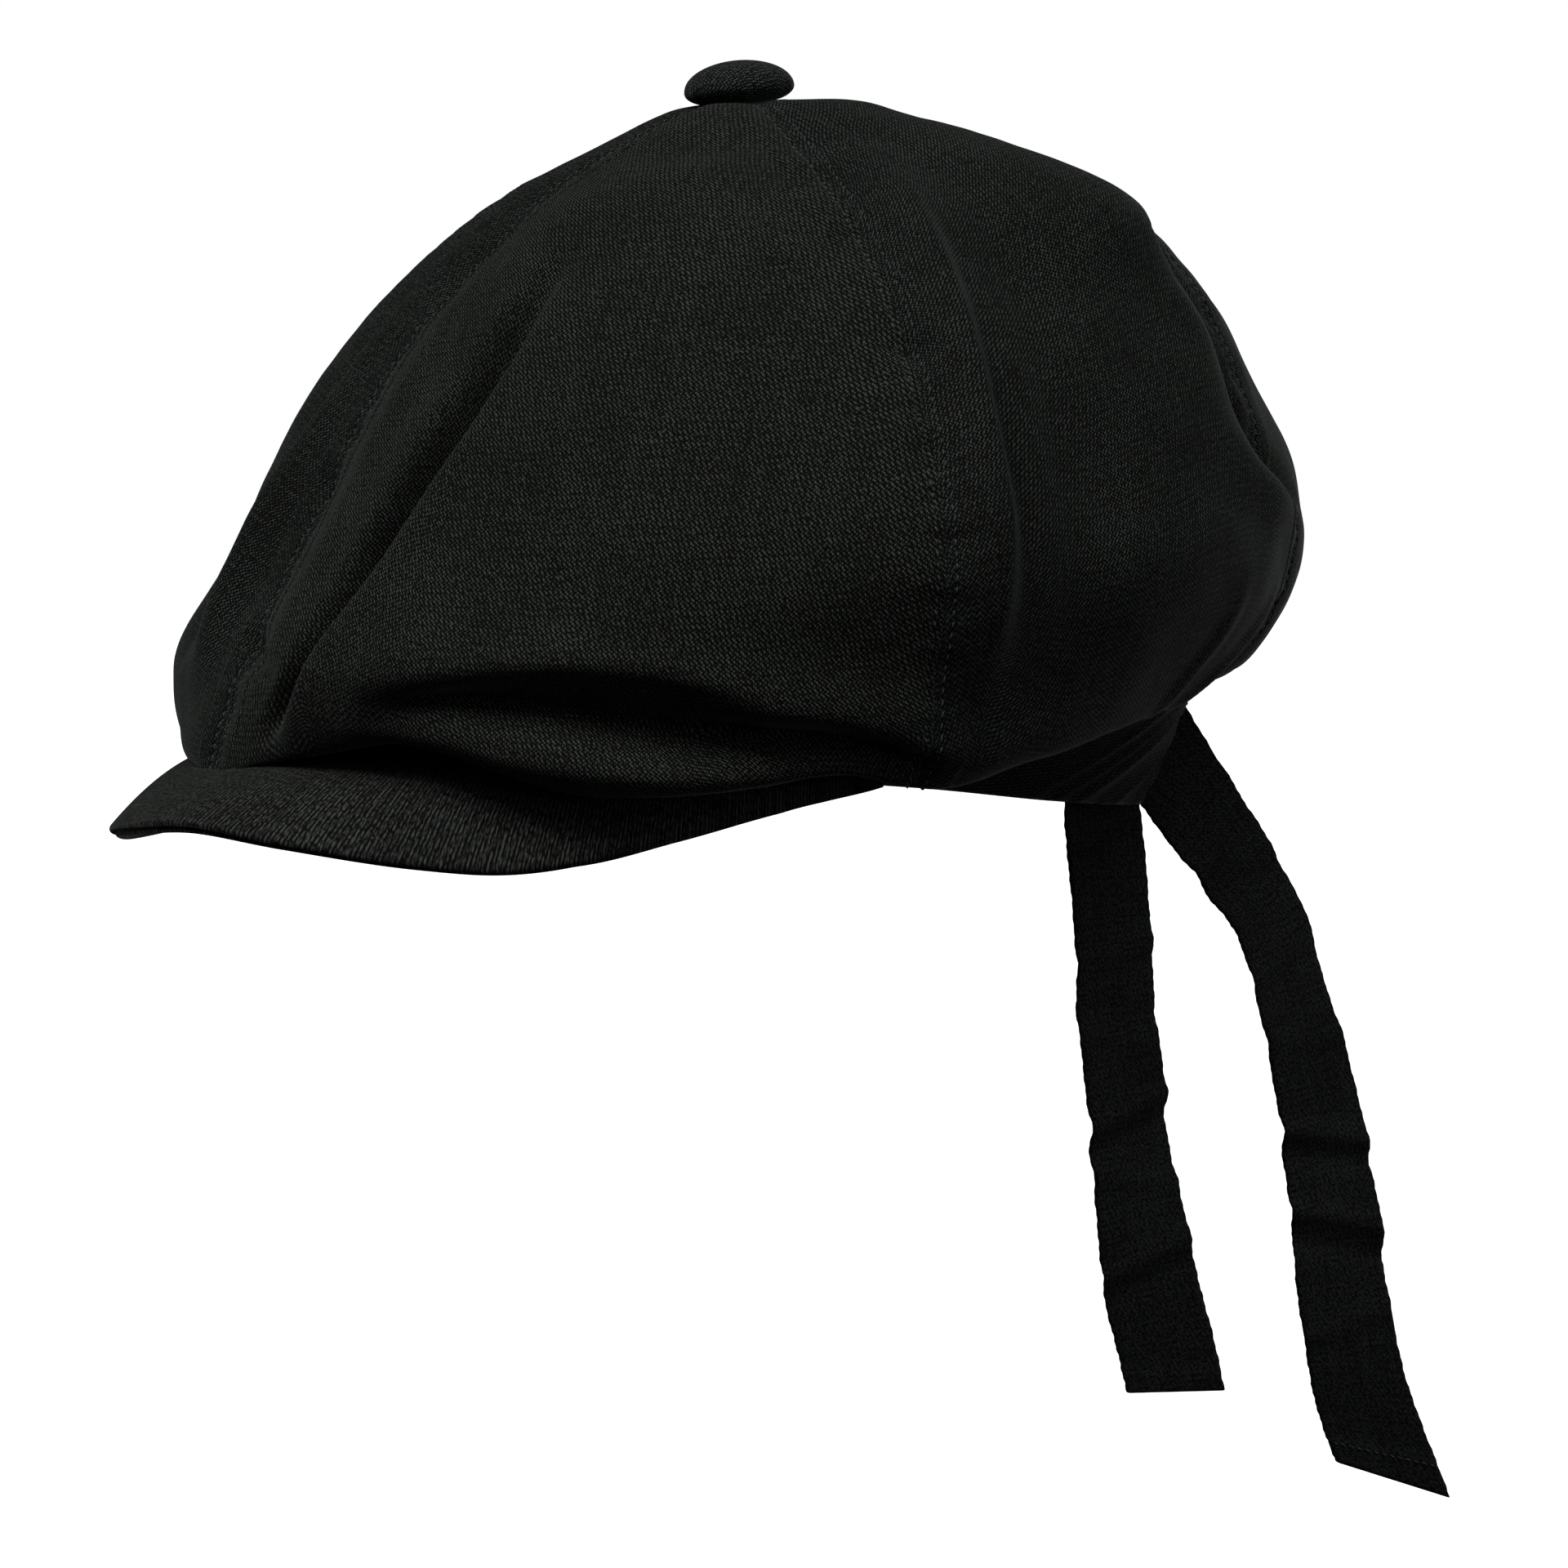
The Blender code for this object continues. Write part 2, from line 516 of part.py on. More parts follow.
PANELS = (
    ("crown_panel_front_left", 0.0, SIDE_SEAM, 18),
    ("crown_panel_front_right", -SIDE_SEAM, 0.0, 18),
    ("crown_panel_side_left", SIDE_SEAM, REAR_SEAM, 11),
    ("crown_panel_side_right", -REAR_SEAM, -SIDE_SEAM, 11),
    ("crown_panel_back", REAR_SEAM, 360 - REAR_SEAM, 10),
)
for panel_name, panel_start, panel_end, panel_columns in PANELS:
    crown_panel(panel_name, panel_start, panel_end, panel_columns, crown_cloth)
button("button", button_cloth)
band("band", band_cloth)
peak_layer("peak_top_cloth", 0.0, PEAK_CLOTH_WALL, peak_cloth)
peak_layer("peak_under_cloth", PEAK_CLOTH_WALL + SEAM_GAP, PEAK_CLOTH_WALL, peak_cloth)
tie("tie_left", TIE_LEFT_ROWS, tie_cloth)
tie("tie_right", TIE_RIGHT_ROWS, tie_cloth)
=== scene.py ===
"""Looks of a soft peaked sailor cap: gored crown, covered button, head band, sewn peak and two hanging ties.

Frame: metres, +Z up, -Y to the wearer's front, +X to the wearer's left, origin in the middle of the head opening.
Tables hold millimetres, and degrees about +Z from the front (0) round the wearer's left (90) to the back (180).
Meshes are worked out in millimetres too, and turned into metres when they are made.
"""

import bpy
import numpy as np
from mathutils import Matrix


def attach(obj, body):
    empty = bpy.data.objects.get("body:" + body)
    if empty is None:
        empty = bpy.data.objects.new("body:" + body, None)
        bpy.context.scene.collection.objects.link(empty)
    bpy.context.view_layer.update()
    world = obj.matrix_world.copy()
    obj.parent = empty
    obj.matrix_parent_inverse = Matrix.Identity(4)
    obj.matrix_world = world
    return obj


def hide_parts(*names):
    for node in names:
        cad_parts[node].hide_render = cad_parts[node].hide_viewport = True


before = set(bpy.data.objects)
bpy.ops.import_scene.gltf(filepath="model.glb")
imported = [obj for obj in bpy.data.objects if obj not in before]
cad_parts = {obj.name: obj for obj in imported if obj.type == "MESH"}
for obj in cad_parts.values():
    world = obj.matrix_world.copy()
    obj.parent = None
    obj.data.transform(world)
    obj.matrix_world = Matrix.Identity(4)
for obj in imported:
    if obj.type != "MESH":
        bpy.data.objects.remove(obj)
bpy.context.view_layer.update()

MM = 0.001
RADIAN = np.pi / 180.0

# ------------------------------ camera
# The cap is seen from the wearer's left, a little from the front and from just above the brim, through a long
# lens. The lens is shifted so that the hanging ties are in the frame.
VIEW_AZIMUTH = 63.0
VIEW_ELEVATION = 3.0
VIEW_DISTANCE = 1.33
LENS = 135.0
FILM = 36.0
PICTURE_SIDE = 1920
SHIFT_PIXELS = (55.0, -17.0)


def outward(angle):
    """Unit vector that leaves the axis level at an angle: (sine, minus cosine, 0)."""
    turn = np.asarray(angle, float) * RADIAN
    return np.stack([np.sin(turn), -np.cos(turn), np.zeros_like(turn)], -1)


def sight(azimuth, elevation):
    """Unit vector from the origin towards a viewer at an azimuth and elevation."""
    rise = elevation * RADIAN
    return outward(azimuth) * np.cos(rise) + np.array([0, 0, np.sin(rise)])


def add_object(name, data):
    """A new object in the scene."""
    made = bpy.data.objects.new(name, data)
    bpy.context.scene.collection.objects.link(made)
    return made


camera_data = bpy.data.cameras.new("camera")
camera_data.lens = LENS
camera_data.sensor_width = FILM
camera_data.shift_x = SHIFT_PIXELS[0] / PICTURE_SIDE
camera_data.shift_y = SHIFT_PIXELS[1] / PICTURE_SIDE
camera = add_object("camera", camera_data)
camera.location = sight(VIEW_AZIMUTH, VIEW_ELEVATION) * VIEW_DISTANCE
camera.rotation_euler = ((90 - VIEW_ELEVATION) * RADIAN, 0, VIEW_AZIMUTH * RADIAN)
bpy.context.scene.camera = camera

# ------------------------------ crown panels
# Five gores of soft black twill, sewn edge to edge with the allowances pressed open and topstitched on both
# sides of each seam. They puff out over the band, hang over it, turn under and are gathered on its face.
CLOTH_WALL = 1.6
SEAM_OVERLAP = 0.06
CROWN_SEAT_GAP = 0.6
APEX_HOLE_RADIUS = 2.6
APEX_HEIGHT = 150.2
HEAD_HALF_WIDTH = 80.0
HEAD_HALF_LENGTH = 99.0
BAND_WALL = 2.0
SIDE_SEAM = 83.5
REAR_SEAM = 146.0
SEAMS = (0.0, SIDE_SEAM, REAR_SEAM)


def table(columns, *rows):
    """A table's columns by name."""
    return dict(zip(columns.split(), np.array(rows, float).T))


BAND_ROWS = table(
    "angle bottom top flare_bottom flare_top",
    (0, 4, 31, 0, 0), (30, 4, 31, 0, 0), (60, 3, 29, 0, 0.5), (90, 0, 25.5, -0.5, 2), (120, -4.5, 22.5, -2, 5),
    (150, -7.5, 21.5, -3.8, 8), (180, -8, 21.5, -4.8, 8.5),
)

# Height of the cloth at 15 and 35 mm from the axis, then its radius at named heights, and the height at which it
# meets the band
SHOULDER_RADII = (15.0, 35.0)
SECTION_HEIGHTS = (126.0, 108.0, 90.0, 70.0, 46.0, 24.0)
CROWN_ROWS = table(
    "angle z_r15 z_r35 r_z126 r_z108 r_z90 r_z70 r_z46 r_z24 join_z",
    (0, 147, 136.4, 51, 68.6, 84.6, 98.2, 110.3, 122.3, 29.5),
    (27, 148.4, 138.4, 58.8, 79, 92.9, 104.9, 116.4, 127.6, 29.5),
    (55, 148.6, 139.3, 61.4, 81.6, 95.6, 107.6, 116.8, 119.5, 27),
    (83.5, 148.8, 140.8, 62.8, 87.2, 102.2, 113.8, 121.2, 116.4, 22),
    (105, 150.1, 146, 78.4, 93.3, 104.6, 113, 119, 113.4, 17),
    (128, 150.5, 148.4, 94.6, 102.8, 111.4, 117.6, 122, 110.6, 16),
    (146, 150.7, 147, 87.6, 103.5, 111.6, 119.2, 123.8, 112, 17.2),
    (163, 150.9, 147.2, 88.6, 106.6, 118, 128.6, 129.2, 116.8, 17.6),
    (180, 150.8, 147, 88.2, 106.8, 117.4, 126.8, 129.2, 118.2, 17.6),
)
# The lowest line of the overhang, from the wearer's right round to the left: it is tacked down on the peak at the
# front, lifts beside the tack, and sags again at the side
HEM_ROWS = table(
    "angle hang_r hang_z",
    (-180, 108, 19.4), (-163, 106, 19.4), (-146, 102.5, 18.8), (-128, 103, 15.4), (-112, 104.5, 10.5),
    (-96, 104.8, 6), (-83.5, 106, 3.2), (-70, 108.5, 3), (-56, 112, 2.8), (-42, 116.5, 3), (-27, 121, 3.4),
    (-15, 124.5, 4.8), (-7, 126.5, 3.8), (0, 127.5, 2.2), (9, 125, 5), (18, 122, 8.5), (26, 118.5, 11.4),
    (32, 116.5, 9.8), (37, 115, 6.6), (42, 113.5, 3.6), (47, 112.5, 1.8), (52, 111.5, 1.6), (58, 110.6, 2.2),
    (65, 109.5, 3.2), (75, 108, 3.8), (83.5, 106, 1), (89, 105.3, 1.6), (96, 104.8, 5.3), (105, 104.5, 8.3),
    (112, 104.5, 11.2), (118, 104.5, 13.4), (128, 102, 15.4), (146, 101.5, 18.8), (163, 105.5, 19.4),
    (180, 108, 19.4),
)
STEEP_JOIN_RISE = 10.0
LAP_SHARE_STEEP = 0.12
LAP_SHARE_LEVEL = 0.45
LAP_RISE = 0.33
HANG_KNOT = 1 + len(SHOULDER_RADII) + len(SECTION_HEIGHTS)
LAST_KNOT = HANG_KNOT + 2

# Folds: each row is a place on the fold's line (angle, height over the head opening), the fold's half widths there
# and its relief (minus is a valley). The first half width is on the left hand of someone who walks the line on the
# cloth, the second on the right.
CROWN_FOLDS = {
    "crease beside the front seam": (
        (32, 119, 5, 4, 0), (30, 108, 4.8, 3.4, -4), (27.4, 93, 4.6, 3, -8), (24.7, 79, 4.6, 2.8, -11),
        (22, 68, 4.6, 2.7, -12.5), (19.9, 58, 4.6, 2.6, -13), (17.6, 48, 4.5, 2.6, -13),
        (15.6, 38, 4.3, 2.6, -12), (13.6, 28, 4, 2.6, -9.5), (11.2, 19, 3.6, 2.6, -6), (8, 9, 3.4, 3, 0),
    ),
    "raised strip between crease and front seam": (
        (10, 128, 6, 8, 0), (10, 110, 6, 8, 0.8), (9.5, 80, 6, 8, 1.2), (8.5, 50, 6, 8, 1.2), (6, 26, 5, 6, 1),
        (4, 14, 4, 5, 0),
    ),
    "roll behind the crease": (
        (31, 92, 6, 3, 0), (28, 77, 6, 2.8, 0.7), (25, 62, 6, 2.6, 1.1), (22.6, 52, 6, 2.6, 1.4),
        (20.5, 42, 6, 2.6, 1.6), (18.6, 33, 7, 2.6, 1.8), (16.8, 25, 7, 2.6, 2), (14.4, 17, 6, 2.8, 1.6),
        (12, 9, 5, 3, 0),
    ),
    "hollow above the lower roll": (
        (23, 14.5, 5, 3, 0), (28, 16.6, 5, 3, -3.2), (33.5, 18, 5.6, 3, -6), (39, 17, 7, 3, -7.6),
        (45, 15.8, 7.6, 3.1, -7.8), (51, 13.6, 7.8, 3.6, -8), (56, 11.8, 7.6, 4.2, -8.2),
        (61, 10.4, 6.4, 4.4, -5.6), (66, 9.6, 5, 4, 0),
    ),
    "lip of that hollow": (
        (27, 19.5, 5, 2.6, 0), (31.5, 22, 5, 2.5, 1), (36, 25, 5, 2.5, 1.9), (41, 26.8, 5, 2.5, 2.2),
        (46, 27.4, 5, 2.5, 2.4), (51, 26.8, 5, 2.5, 2.2), (56, 25.4, 5, 2.6, 1.8), (61, 23.6, 5, 2.6, 1.4),
        (66, 22, 5, 3, 0),
    ),
    "pocket under the side": (
        (58, 13.5, 4, 5, 0), (62.5, 12.3, 3.6, 5, -5.5), (68, 11, 3.4, 5, -7.5), (74, 9.6, 3.4, 5, -7),
        (79, 7.6, 3.4, 5, -5), (85, 4.5, 3.4, 4, 0),
    ),
    "lower roll over the peak": (
        (20, 12, 4, 5, 0), (26, 12, 4, 5, 1.4), (31, 11, 4, 5.5, 2.8), (37, 9.2, 4.2, 6, 4),
        (43, 7.2, 4.4, 6, 4.6), (49, 5.6, 4.4, 6, 5), (55, 4.4, 4.4, 6, 4.8), (61, 3.8, 4.2, 6, 3.8),
        (67, 3.6, 4, 5, 2.5), (73, 3.8, 4, 5, 1.2), (79, 4, 4, 5, 0),
    ),
    "edge that hangs over the pocket": (
        (56, 21, 8, 3.2, 0), (61, 19.4, 8, 3, 1.8), (66.5, 18.4, 8, 3, 3), (72.5, 17.4, 8, 3, 3.5),
        (78, 14.6, 8, 3, 3.5), (82, 12, 8, 3, 3.2), (86, 8.8, 8, 3, 2.8), (91, 7, 8, 3.5, 2.2),
        (97, 8.4, 8, 4, 1.6), (104, 10.5, 8, 4, 1), (113, 14, 7, 4, 0),
    ),
    "ridge along the side seam": (
        (98, 143, 5, 8, 0), (95.5, 134, 4.6, 9, 2.2), (93, 121, 4, 11, 4), (91, 98, 3.6, 13, 5.6),
        (90, 78, 3.4, 14, 6.2), (89.5, 60, 3.8, 14, 5.8), (89, 42, 4.6, 13, 4.2), (88.5, 28, 6, 11, 2),
        (88, 18, 7, 8, 0),
    ),
    "slack behind that ridge": (
        (108, 138, 10, 6, 0), (105, 124, 11, 6, -1.6), (102.5, 103, 12, 6, -2), (101, 82, 13, 6, -2),
        (100.5, 62, 13, 6, -1.8), (100, 44, 12, 6, -1.2), (99, 28, 10, 6, 0),
    ),
    "ridge before the rear seam": (
        (127, 116, 7, 8, 0), (129.5, 105, 6, 8, 1.5), (130.5, 98, 6, 8, 1.8), (129, 88, 6, 8, 0.8),
        (129, 78, 6, 8, 0.6), (132.5, 69, 6, 9, 2.6), (137, 63, 6, 8, 4.6), (143, 59, 6, 7, 3.8),
        (150, 57, 6, 7, 1.6), (157, 55, 6, 7, 0),
    ),
    "valley at the rear seam": (
        (132, 127, 6, 6, 0), (136, 119, 6, 6, -5), (139, 110, 6, 6, -6), (141, 101, 6, 6, -4),
        (140, 92, 6.5, 6, -6.5), (138, 84, 7, 6, -8), (139.5, 77, 7, 6, -7.5), (144, 70, 6, 5, -5.5),
        (150, 65, 5, 4, -3), (156, 62, 4, 4, 0),
    ),
    "pucker on the front seam": (
        (-4, 33, 3, 3, 0), (-1, 31.5, 4, 4, -1.9), (3, 29, 4, 4, -2.3), (7, 25, 3.5, 3.5, -1.4),
        (10, 22, 3, 3, 0),
    ),
    "dimple higher on the front seam": (
        (-4, 70, 3, 3, 0), (-2, 66, 3.5, 3.5, -1.7), (0, 62, 3.5, 3.5, -1.7), (2, 57, 3, 3, 0),
    ),
    "dimple on the side seam": (
        (79, 98, 3, 3, 0), (81.5, 95, 3, 3.5, -1.7), (84.5, 92, 3, 3.5, -1.7), (87, 89, 3, 3, 0),
    ),
    "first pleat to the band": (
        (129, 46, 3, 3, 0), (128, 34, 3, 3, 1), (125, 22, 2.5, 2.5, 1.4), (122, 15, 2, 2, 1),
    ),
    "second pleat to the band": (
        (141, 44, 3, 3, 0), (138, 33, 3, 3, 1.2), (134, 24, 2.5, 2.5, 1.5), (130, 17, 2, 2, 1),
    ),
    "ridge on the right of the front seam": (
        (-12, 136, 5, 4, 0), (-11, 124, 6, 4, 1.4), (-10.5, 112, 7, 4, 2.8), (-10, 96, 7.5, 4, 3.6),
        (-10, 84, 7.5, 4, 3.6), (-10, 72, 7.5, 4.5, 4.2), (-10, 60, 7.5, 5, 5.8), (-10, 48, 7, 5, 6.4),
        (-10, 40, 7, 6, 6), (-10, 32, 7, 6, 4), (-10, 25, 7, 6, 1.4), (-10, 17, 7, 6, 0),
    ),
    "crease on the right of that ridge": (
        (-22, 134, 4, 14, 0), (-19.5, 121, 4, 14, -2.6), (-18, 106, 4, 14, -4.2), (-17, 90, 4, 14, -4.6),
        (-17, 74, 4, 12, -4.6), (-17.5, 60, 4.5, 10, -4.4), (-18, 46, 5, 8, -3.6), (-18, 33, 5, 7, -2),
        (-17, 22, 5, 6, 0),
    ),
    "hollow on the right": (
        (-78, 20, 6, 6, 0), (-68, 21, 5, 8, -3), (-57, 22, 5, 9, -5), (-46, 22, 5, 9, -4.5), (-36, 19, 5, 7, 0),
    ),
    "roll on the right": (
        (-80, 8, 5, 6, 0), (-66, 9, 5, 6, 2.5), (-50, 9.5, 5, 6, 3), (-38, 10, 5, 6, 1.6), (-28, 12, 6, 7, 0),
    ),
    "long slant on the right": (
        (-44, 122, 10, 10, 0), (-55, 104, 11, 11, -2.5), (-67, 84, 12, 11, -3.5), (-79, 64, 12, 11, -3),
        (-90, 46, 11, 10, 0),
    ),
    "ridge behind the right side seam": (
        (-96, 140, 8, 7, 0), (-96, 124, 8, 7, 2.4), (-97, 100, 8, 7, 3.2), (-101, 78, 8, 8, 2.6),
        (-106, 58, 9, 8, 0),
    ),
    "valley at the right rear seam": (
        (-134, 124, 7, 7, 0), (-138, 108, 7, 7, -4), (-140, 90, 7, 7, -5), (-137, 74, 7, 7, -4),
        (-131, 60, 7, 7, 0),
    ),
    "bulge under that valley": (
        (-128, 62, 8, 8, 0), (-138, 58, 8, 8, 3), (-149, 54, 8, 8, 3), (-160, 52, 8, 8, 0),
    ),
    "slack at the back": (
        (177, 122, 9, 9, 0), (179, 104, 10, 10, -2.2), (183, 82, 10, 10, -3), (190, 60, 9, 9, -1.5),
        (195, 44, 9, 9, 0),
    ),
}
FOLD_RADIUS = 115.0
FOLD_STEPS = 4
FOLD_REACH = 3.2
RELIEF_END_BLEND = 0.8
FOLD_INNER_RADII = (10.0, 30.0)

# Seam: a soft dip, the sharp groove of the joined edges, the doubled strip of the allowances, the two stitched
# channels and the puckers that the stitching draws up
SEAM_DIP, SEAM_DIP_WIDTH = 0.9, 4.5
GROOVE, GROOVE_WIDTH = 0.4, 0.7
ALLOWANCE, ALLOWANCE_WIDTH, ALLOWANCE_BLEND = 0.35, 7.0, 0.9
CHANNEL, CHANNEL_OFFSET, CHANNEL_WIDTH = 0.4, 1.8, 0.55
PUCKER, PUCKER_WIDTH, PUCKER_PITCH = 0.28, 6.0, 11.0
PUCKER_DRIFT, PUCKER_DRIFT_LENGTH = 1.7, 13.0
FINE_PUCKER, FINE_PUCKER_RATE = 0.5, 1.7
SEAM_FULL_RADIUS = 40.0
SEAM_INNER_RADII = (5.0, 16.0)

# The hang of soft cloth: long and short waves in no one direction, from a seeded draw. Each set has a number of
# waves, the shortest and longest wavelength, and a height.
WAVES = ((12, 34.0, 70.0, 0.55), (14, 14.0, 26.0, 0.13), (16, 6.0, 10.0, 0.035))
WAVE_SEED = 11
WAVE_INNER_RADII = (12.0, 40.0)

STATION_STEP = 0.95
COLUMN_STEP = 0.95
SEAM_CLUSTER = 0.62
FINE_ANGLE = 0.2
FINE_STATION = 0.02
PROFILE_SAMPLES = 600


def hermite(p1, p2, tangent1, tangent2, u):
    """Cubic from p1 to p2 with the given end tangents, u from 0 to 1."""
    return (
        (2 * u**3 - 3 * u**2 + 1) * p1
        + (u**3 - 2 * u**2 + u) * tangent1
        + (-2 * u**3 + 3 * u**2) * p2
        + (u**3 - u**2) * tangent2
    )


def turned(angle):
    """An angle brought between -180 and 180."""
    return (np.asarray(angle, float) + 180) % 360 - 180


def side_angle(angle):
    """Angle from the front, the same on both sides of the cap."""
    return np.abs(turned(angle))


def around(rows, column, angle):
    """A table column as a smooth cubic of the angle. A table that starts at the front reaches to the back, and is
    mirrored to the wearer's right."""
    known, value, at = rows["angle"], rows[column], turned(angle)
    last = known[-1]
    if known[0] == 0:
        at = np.abs(at)
        known = np.concatenate([-known[:0:-1], known, 360 - known[-2::-1]])
        value = np.concatenate([value[:0:-1], value, value[-2::-1]])
    slope = np.gradient(value, known)
    at = np.clip(at, known[0], last)
    i = np.clip(np.searchsorted(known, at) - 1, 0, len(known) - 2)
    step = known[i + 1] - known[i]
    return hermite(value[i], value[i + 1], slope[i] * step, slope[i + 1] * step, (at - known[i]) / step)


def unit(vectors):
    """Vectors brought to length 1."""
    return vectors / np.maximum(np.linalg.norm(vectors, axis=-1, keepdims=True), 1e-9)


def lengths(points, axis=0):
    """Length from the start along a line of points, or along the lines of a grid."""
    return np.cumsum(np.insert(np.linalg.norm(np.diff(points, axis=axis), axis=-1), 0, 0, axis), axis)


def placed(angle, radius, height):
    """Points at cylinder coordinates."""
    return outward(angle) * np.asarray(radius)[..., None] + np.asarray(height)[..., None] * [0, 0, 1]


def band_radius(angle, rise):
    """Inner radius of the band at a share of its height: the head's oval, flared in a straight line."""
    turn = np.asarray(angle, float) * RADIAN
    oval = 1 / np.sqrt((np.sin(turn) / HEAD_HALF_WIDTH) ** 2 + (np.cos(turn) / HEAD_HALF_LENGTH) ** 2)
    low = around(BAND_ROWS, "flare_bottom", angle)
    return oval + low + (around(BAND_ROWS, "flare_top", angle) - low) * rise


def band_height(angle, rise):
    """Height of a place on the band, 0 at its lower edge and 1 at its upper one."""
    low = around(BAND_ROWS, "bottom", angle)
    return low + (around(BAND_ROWS, "top", angle) - low) * rise


def band_face(angle, height):
    """Radius of the band's outer face at a height, without its gathers."""
    low = band_height(angle, 0.0)
    return band_radius(angle, (height - low) / (band_height(angle, 1.0) - low)) + BAND_WALL


def crown_knots(angle):
    """Knots of the crown's profile at each angle, from the apex to the band: radius and height."""
    radii = [0 * angle]
    heights = [0 * angle + APEX_HEIGHT]
    for radius, column in zip(SHOULDER_RADII, ("z_r15", "z_r35")):
        radii.append(0 * angle + radius)
        heights.append(around(CROWN_ROWS, column, angle))
    for height in SECTION_HEIGHTS:
        radii.append(around(CROWN_ROWS, f"r_z{height:.0f}", angle))
        heights.append(0 * angle + height)
    hang_radius = around(HEM_ROWS, "hang_r", angle)
    hang_height = around(HEM_ROWS, "hang_z", angle)
    join_height = around(CROWN_ROWS, "join_z", angle)
    join_radius = band_face(angle, join_height + CLOTH_WALL) + CROWN_SEAT_GAP
    steep = np.clip((join_height - hang_height) / STEEP_JOIN_RISE, 0, 1)
    lap_share = LAP_SHARE_LEVEL + (LAP_SHARE_STEEP - LAP_SHARE_LEVEL) * steep
    radii += [hang_radius, join_radius + lap_share * (hang_radius - join_radius), join_radius]
    heights += [hang_height, join_height + LAP_RISE * (hang_height - join_height), join_height]
    return np.stack(radii), np.stack(heights)


def profile(angle, station):
    """Radius and height on the crown's profile: a centripetal spline through the knots, counted from the apex."""
    radii, heights = crown_knots(angle)
    mirrored = np.stack([-radii[1], heights[1]])
    beyond = np.stack([2 * radii[-1] - radii[-2], 2 * heights[-1] - heights[-2]])
    knots = np.concatenate([mirrored[None], np.stack([radii, heights], 1), beyond[None]])
    i = np.clip(np.floor(station).astype(int), 0, LAST_KNOT - 1)
    u = station - i
    p0, p1, p2, p3 = (np.take_along_axis(knots, (i + k)[None, None], 0)[0] for k in range(4))
    d0, d1, d2 = (np.sqrt(np.hypot(*(b - a))) + 1e-9 for a, b in ((p0, p1), (p1, p2), (p2, p3)))
    tangent1 = d1 * ((p1 - p0) / d0 - (p2 - p0) / (d0 + d1) + (p2 - p1) / d1)
    tangent2 = d1 * ((p2 - p1) / d1 - (p3 - p1) / (d1 + d2) + (p3 - p2) / d2)
    return hermite(p1, p2, tangent1, tangent2, u)


def smooth_rows(rows, steps):
    """The rows of a table joined by a smooth cubic, at this many steps from each row to the next."""
    points = np.array(rows, float)
    slope = np.gradient(points, axis=0)
    at = np.linspace(0, len(rows) - 1, (len(rows) - 1) * steps + 1)
    i = np.clip(at.astype(int), 0, len(rows) - 2)
    return hermite(points[i], points[i + 1], slope[i], slope[i + 1], (at - i)[:, None])


def fold_relief(angle, radius, height):
    """Height of all folds at a place on the crown: each is a bell across its line, as wide and high as the
    nearest place on the line says, and the bell may be wider on one side of the line than on the other."""
    relief, shape = np.zeros(angle.size), angle.shape
    angle, radius, height = angle.ravel(), radius.ravel(), height.ravel()
    for rows in CROWN_FOLDS.values():
        line = smooth_rows(rows, FOLD_STEPS)
        margin = FOLD_REACH * line[:, 2:4].max()
        middle, half = (line[:, 0].max() + line[:, 0].min()) / 2, np.ptp(line[:, 0]) / 2
        near = np.abs(turned(angle - middle)) * RADIAN < half * RADIAN + margin / np.maximum(radius, margin / 3)
        near &= (height > line[:, 1].min() - margin) & (height < line[:, 1].max() + margin)
        if not near.any():
            continue
        side, reach, rise = angle[near], radius[near], height[near]
        nearest, bell = np.full(side.size, np.inf), np.zeros(side.size)
        for a, b in zip(line[:-1], line[1:]):
            run_arc, run_z = (b[0] - a[0]) * RADIAN * FOLD_RADIUS, b[1] - a[1]
            off_arc, off_z = turned(side - a[0]) * RADIAN * FOLD_RADIUS, rise - a[1]
            along = np.clip((off_arc * run_arc + off_z * run_z) / (run_arc**2 + run_z**2), 0, 1)
            here = a[:, None] + (b - a)[:, None] * along
            across_arc, across_z = turned(side - here[0]) * RADIAN * reach, rise - here[1]
            left = across_arc * run_z - across_z * run_arc < 0
            distance = np.hypot(across_arc, across_z)
            width = np.where(left, here[2], here[3])
            closer = distance < nearest
            bell = np.where(closer, here[4] * np.exp(-((distance / width) ** 2)), bell)
            nearest = np.where(closer, distance, nearest)
        relief[near] += bell
    return relief.reshape(shape)


def plane_waves(points):
    """Sum of sine waves in many directions, each set with its own wavelengths and height."""
    draw = np.random.default_rng(WAVE_SEED)
    total = np.zeros(points.shape[:-1])
    for count, shortest, longest, height in WAVES:
        direction = unit(draw.normal(size=(count, 3)))
        length = draw.uniform(shortest, longest, count)
        phase = draw.uniform(0, 2 * np.pi, count)
        total += height * np.sin(points @ (direction * 2 * np.pi / length[:, None]).T + phase).mean(-1) * count**0.5
    return total


def smooth_step(value, start, end):
    """0 up to the start, 1 from the end on, and a smooth cubic between."""
    u = np.clip((value - start) / (end - start), 0, 1)
    return u * u * (3 - 2 * u)


